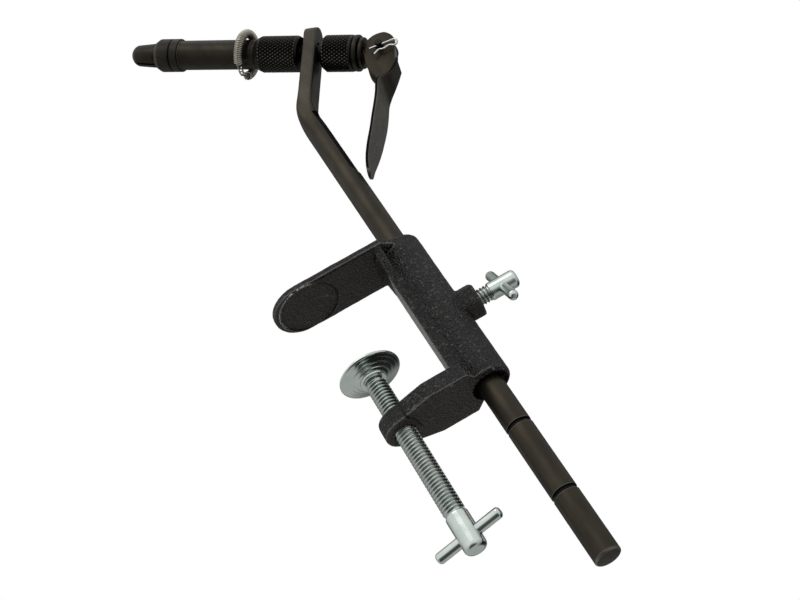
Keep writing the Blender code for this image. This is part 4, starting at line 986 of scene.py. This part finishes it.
ring_place = (
    head_turn @ Matrix.Translation((-0.65 * MM, -0.58 * MM, 29.75 * MM))
    @ Matrix.Rotation(math.radians(3.5), 4, "Y")
)
ring_radius, coil_radius, wire_radius = 8.95 * MM, 1.65 * MM, 0.31 * MM
curls, curl_points = 63, 14
join_turn = math.radians(168)
gap_turn = 5.4 * MM / ring_radius


def on_ring(turn, outward, along):
    """A point by its turn round the ring and its offsets from the ring's centre line."""
    radial = Vector((math.cos(turn), math.sin(turn), 0))
    return ring_place @ (radial * (ring_radius + outward) + Vector((0, 0, along)))


hook_half, hook_reach, hook_mouth = 1.15 * MM, 1.0 * MM, 2.4 * MM


def hook(side):
    """(along the ring, sideways) points from a hook's free end round its bow to the coil."""
    bow = hook_half - hook_reach
    line = [(hook_mouth, -hook_half), (bow, -hook_half)]
    for index in range(1, 16):
        angle = -math.pi / 2 - math.pi * index / 16
        line.append((bow + hook_half * math.cos(angle), hook_half * math.sin(angle)))
    line += [(bow, hook_half), (hook_mouth, hook_half), (gap_turn * ring_radius - 0.4 * MM, hook_half)]
    return [(side * run / ring_radius, sideways) for run, sideways in line]


# The first hook lies in the ring's plane and the second across it, each a long open loop.
points = [on_ring(join_turn + turn, sideways, 0) for turn, sideways in hook(1)]
first, last = join_turn + gap_turn, join_turn + 2 * math.pi - gap_turn
count = curls * curl_points
for index in range(count + 1):
    phase = 2 * math.pi * index / curl_points + math.pi / 2
    turn = first + (last - first) * index / count
    points.append(on_ring(turn, coil_radius * math.sin(phase), coil_radius * math.cos(phase)))
for turn, sideways in reversed(hook(-1)):
    points.append(on_ring(join_turn + 2 * math.pi + turn, 0, sideways))
shape = new_shape()
tube(shape, points, wire_radius)
clip_spring = new_piece("clip_spring_coils", shape, coil_steel, sharp=60)
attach(clip_spring, "head")
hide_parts("material_clip_spring")


# Cam lever
# Two cam cheeks on one pin and the broad leaf that the thumb presses, all one forging in
# brownish oxide. The words pressed into the real leaf are left off.
pin_centre = Vector((0.0745634, 0, 0.0991827))
lever_turn = head_turn.copy()
lever_turn.translation = pin_centre
# The cheek's round, in millimetres: 6.8 at the top, 8.6 at the cam's rise and 6.2 behind it.
cheek_edge = []
cheek_turn = math.radians(168)
for index in range(49):
    angle = cheek_turn * index / 48
    rise = 6.8 + 1.8 * min(angle / (math.pi / 2), 1)
    behind = max(angle - math.pi / 2, 0) / (cheek_turn - math.pi / 2)
    radius = rise + (6.2 - rise) * behind
    cheek_edge.append((radius * math.sin(angle), radius * math.cos(angle)))
cheek_edge += [(-4.0, -7.2), (-6.8, -8.0)]
# Rows down the leaf: drop below the pin, reach in front of it, and half width, in millimetres.
leaf_stations = [
    (8.2, 8.2, 3.6), (12.0, 7.8, 4.2), (16.0, 7.0, 5.2), (19.0, 5.8, 6.8), (22.0, 4.8, 8.7),
    (25.0, 5.0, 9.4), (30.0, 5.9, 9.1), (36.0, 6.6, 9.0), (42.0, 7.0, 8.6), (48.0, 7.4, 7.9),
    (54.0, 7.5, 7.0), (59.0, 7.7, 5.6), (63.0, 8.3, 4.1), (65.2, 8.9, 2.6), (66.0, 9.1, 1.4),
]


def smooth_rows(stations, steps):
    """Rows on a smooth line through the stations."""
    rows = []
    last = len(stations) - 1
    for index in range(last):
        near = [stations[min(max(index + k, 0), last)] for k in (-1, 0, 1, 2)]
        for part in range(steps):
            t = part / steps
            rows.append(tuple(
                b + 0.5 * t * (c - a + t * (2 * a - 5 * b + 4 * c - d + t * (3 * b - a - 3 * c + d)))
                for a, b, c, d in zip(*near)
            ))
    rows.append(stations[last])
    return rows


leaf_rows = smooth_rows(leaf_stations, 6)
upper_rows = [row for row in leaf_rows if row[0] < 24.5]
cheek_edge += [(-drop, -front - 0.75) for drop, front, half in upper_rows[::3]]
foot_drop, foot_front = upper_rows[-1][:2]
cheek_edge.append((-foot_drop, -foot_front - 0.5))
cheek_edge += smooth_rows([
    (-22.3, -3.7), (-17.0, -2.2), (-15.3, -0.4), (-12.2, 2.4), (-9.0, 4.2), (-4.5, 6.0),
], 4)


def plate(edges, half_thickness, rounding, place):
    """A flat plate with rounded rims, from closed edges: its outline and its holes."""
    curve = bpy.data.curves.new("plate", "CURVE")
    curve.dimensions = "2D"
    curve.fill_mode = "BOTH"
    curve.extrude = half_thickness - rounding
    curve.bevel_depth = rounding
    curve.bevel_resolution = 3
    curve.offset = -rounding
    for edge in edges:
        spline = curve.splines.new("POLY")
        spline.points.add(len(edge) - 1)
        for point, (x, y) in zip(spline.points, edge):
            point.co = (x, y, 0, 1)
        spline.use_cyclic_u = True
    made = add_object("plate", curve)
    bpy.context.view_layer.update()
    mesh = bpy.data.meshes.new_from_object(made.evaluated_get(bpy.context.evaluated_depsgraph_get()))
    bpy.data.objects.remove(made, do_unlink=True)
    mesh.transform(place)
    return mesh


lever_oxide = black_oxide("brown_oxide_forged_lever", "#1d1b14", "#322c20", 0.42, False)
shape = new_shape()
flat_in_xz = Matrix.Rotation(math.pi / 2, 4, "X")
hole_radius = 1.7 * MM
pin_hole = [
    (hole_radius * math.cos(-math.pi * k / 20), hole_radius * math.sin(-math.pi * k / 20))
    for k in range(40)
]
for side in (-1, 1):
    place = lever_turn @ Matrix.Translation((0, side * 3.05 * MM, 0)) @ flat_in_xz
    cheek_mesh = plate([millimetres(cheek_edge), pin_hole], 0.7 * MM, 0.3 * MM, place)
    shape.from_mesh(cheek_mesh)
    bpy.data.meshes.remove(cheek_mesh)
bmesh.ops.remove_doubles(shape, verts=shape.verts, dist=0.002 * MM)
rings, runs = [], []
half_leaf = 0.75 * MM
leaf_sides = 64
for drop, front, half in leaf_rows + [(66.35, 9.2, 0.3)]:
    ring = []
    half_width = max(half * 1.05 * MM, 0.2 * MM)
    thick = half_leaf * (0.35 if half < 0.4 else 0.7 if half < 1.2 else 1)
    for k in range(leaf_sides):
        angle = 2 * math.pi * k / leaf_sides
        y = half_width * squared(math.cos(angle), 14 if half > 2 else 3)
        z = thick * squared(math.sin(angle), 5)
        ring.append(lever_turn @ Vector((-drop * MM, y, -front * MM - half_leaf + z)))
    rings.append(ring)
    runs.append(drop * MM)
cheek_faces = len(shape.faces)
# The leaf is painted lighter grey towards its end, a painted highlight for its broad face, which catches
# more light than the cheeks; its side edges take the near-black material as painted shade.
painted_leaf_light = [min(max((run / MM - 14) / 16, 0), 1) * 0.8 for run in runs]
skin(shape, rings, painted_leaf_light, runs)
shape.faces.ensure_lookup_table()
shape.normal_update()
# Painted shade: the leaf's side edges take the second, near-black material.
for index in range(cheek_faces, len(shape.faces)):
    if abs(shape.faces[index].normal.y) > 0.8:
        shape.faces[index].material_index = 1
lever = new_piece("lever_forging", shape, lever_oxide, painted_shade_black, sharp=32)
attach(lever, "lever")
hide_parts("cam_lever")


# Lever pin
# The steel pin through cheeks and eye, with a flat head on the far side.
pin_turn = lever_turn @ flat_in_xz
pin_outline = [(0, 6.9), (1.4, 6.9), (1.6, 6.7), (1.6, -4.05), (2.4, -4.05), (2.4, -4.95), (0, -4.95)]
pin = turned("lever_pin", pin_outline, 0.2, pin_turn, barrel_oxide, sides=56, sharp=34)
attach(pin, "lever")
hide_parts("cam_pin")


# Hairpin clip
# A bright wire clip: one straight leg through the pin and one waved leg that springs round it.
clip_line = [
    (3.4, -2.9), (1.2, -1.65), (-1.2, -0.3), (-3.6, 1.05), (-5.9, 2.35), (-7.0, 2.3), (-7.7, 1.4),
    (-7.8, 0.2), (-7.1, -0.75), (-6.0, -0.75), (-4.7, -0.95), (-3.5, -2.0), (-2.4, -3.0), (-1.3, -3.1),
    (-0.5, -3.7), (0.1, -4.8), (0.7, -5.9),
]
clip_points = [lever_turn @ Vector((h * MM, -5.5 * MM, s * MM)) for s, h in smooth_rows(clip_line, 6)]
clip_steel = spring_wire("bright_spring_wire", "#a3a19a", "#cfcec8", 0.22)
shape = new_shape()
tube(shape, clip_points, 0.45 * MM, sides=14)
clip = new_piece("hairpin_wire", shape, clip_steel, sharp=60)
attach(clip, "lever")
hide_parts("pin_clip")
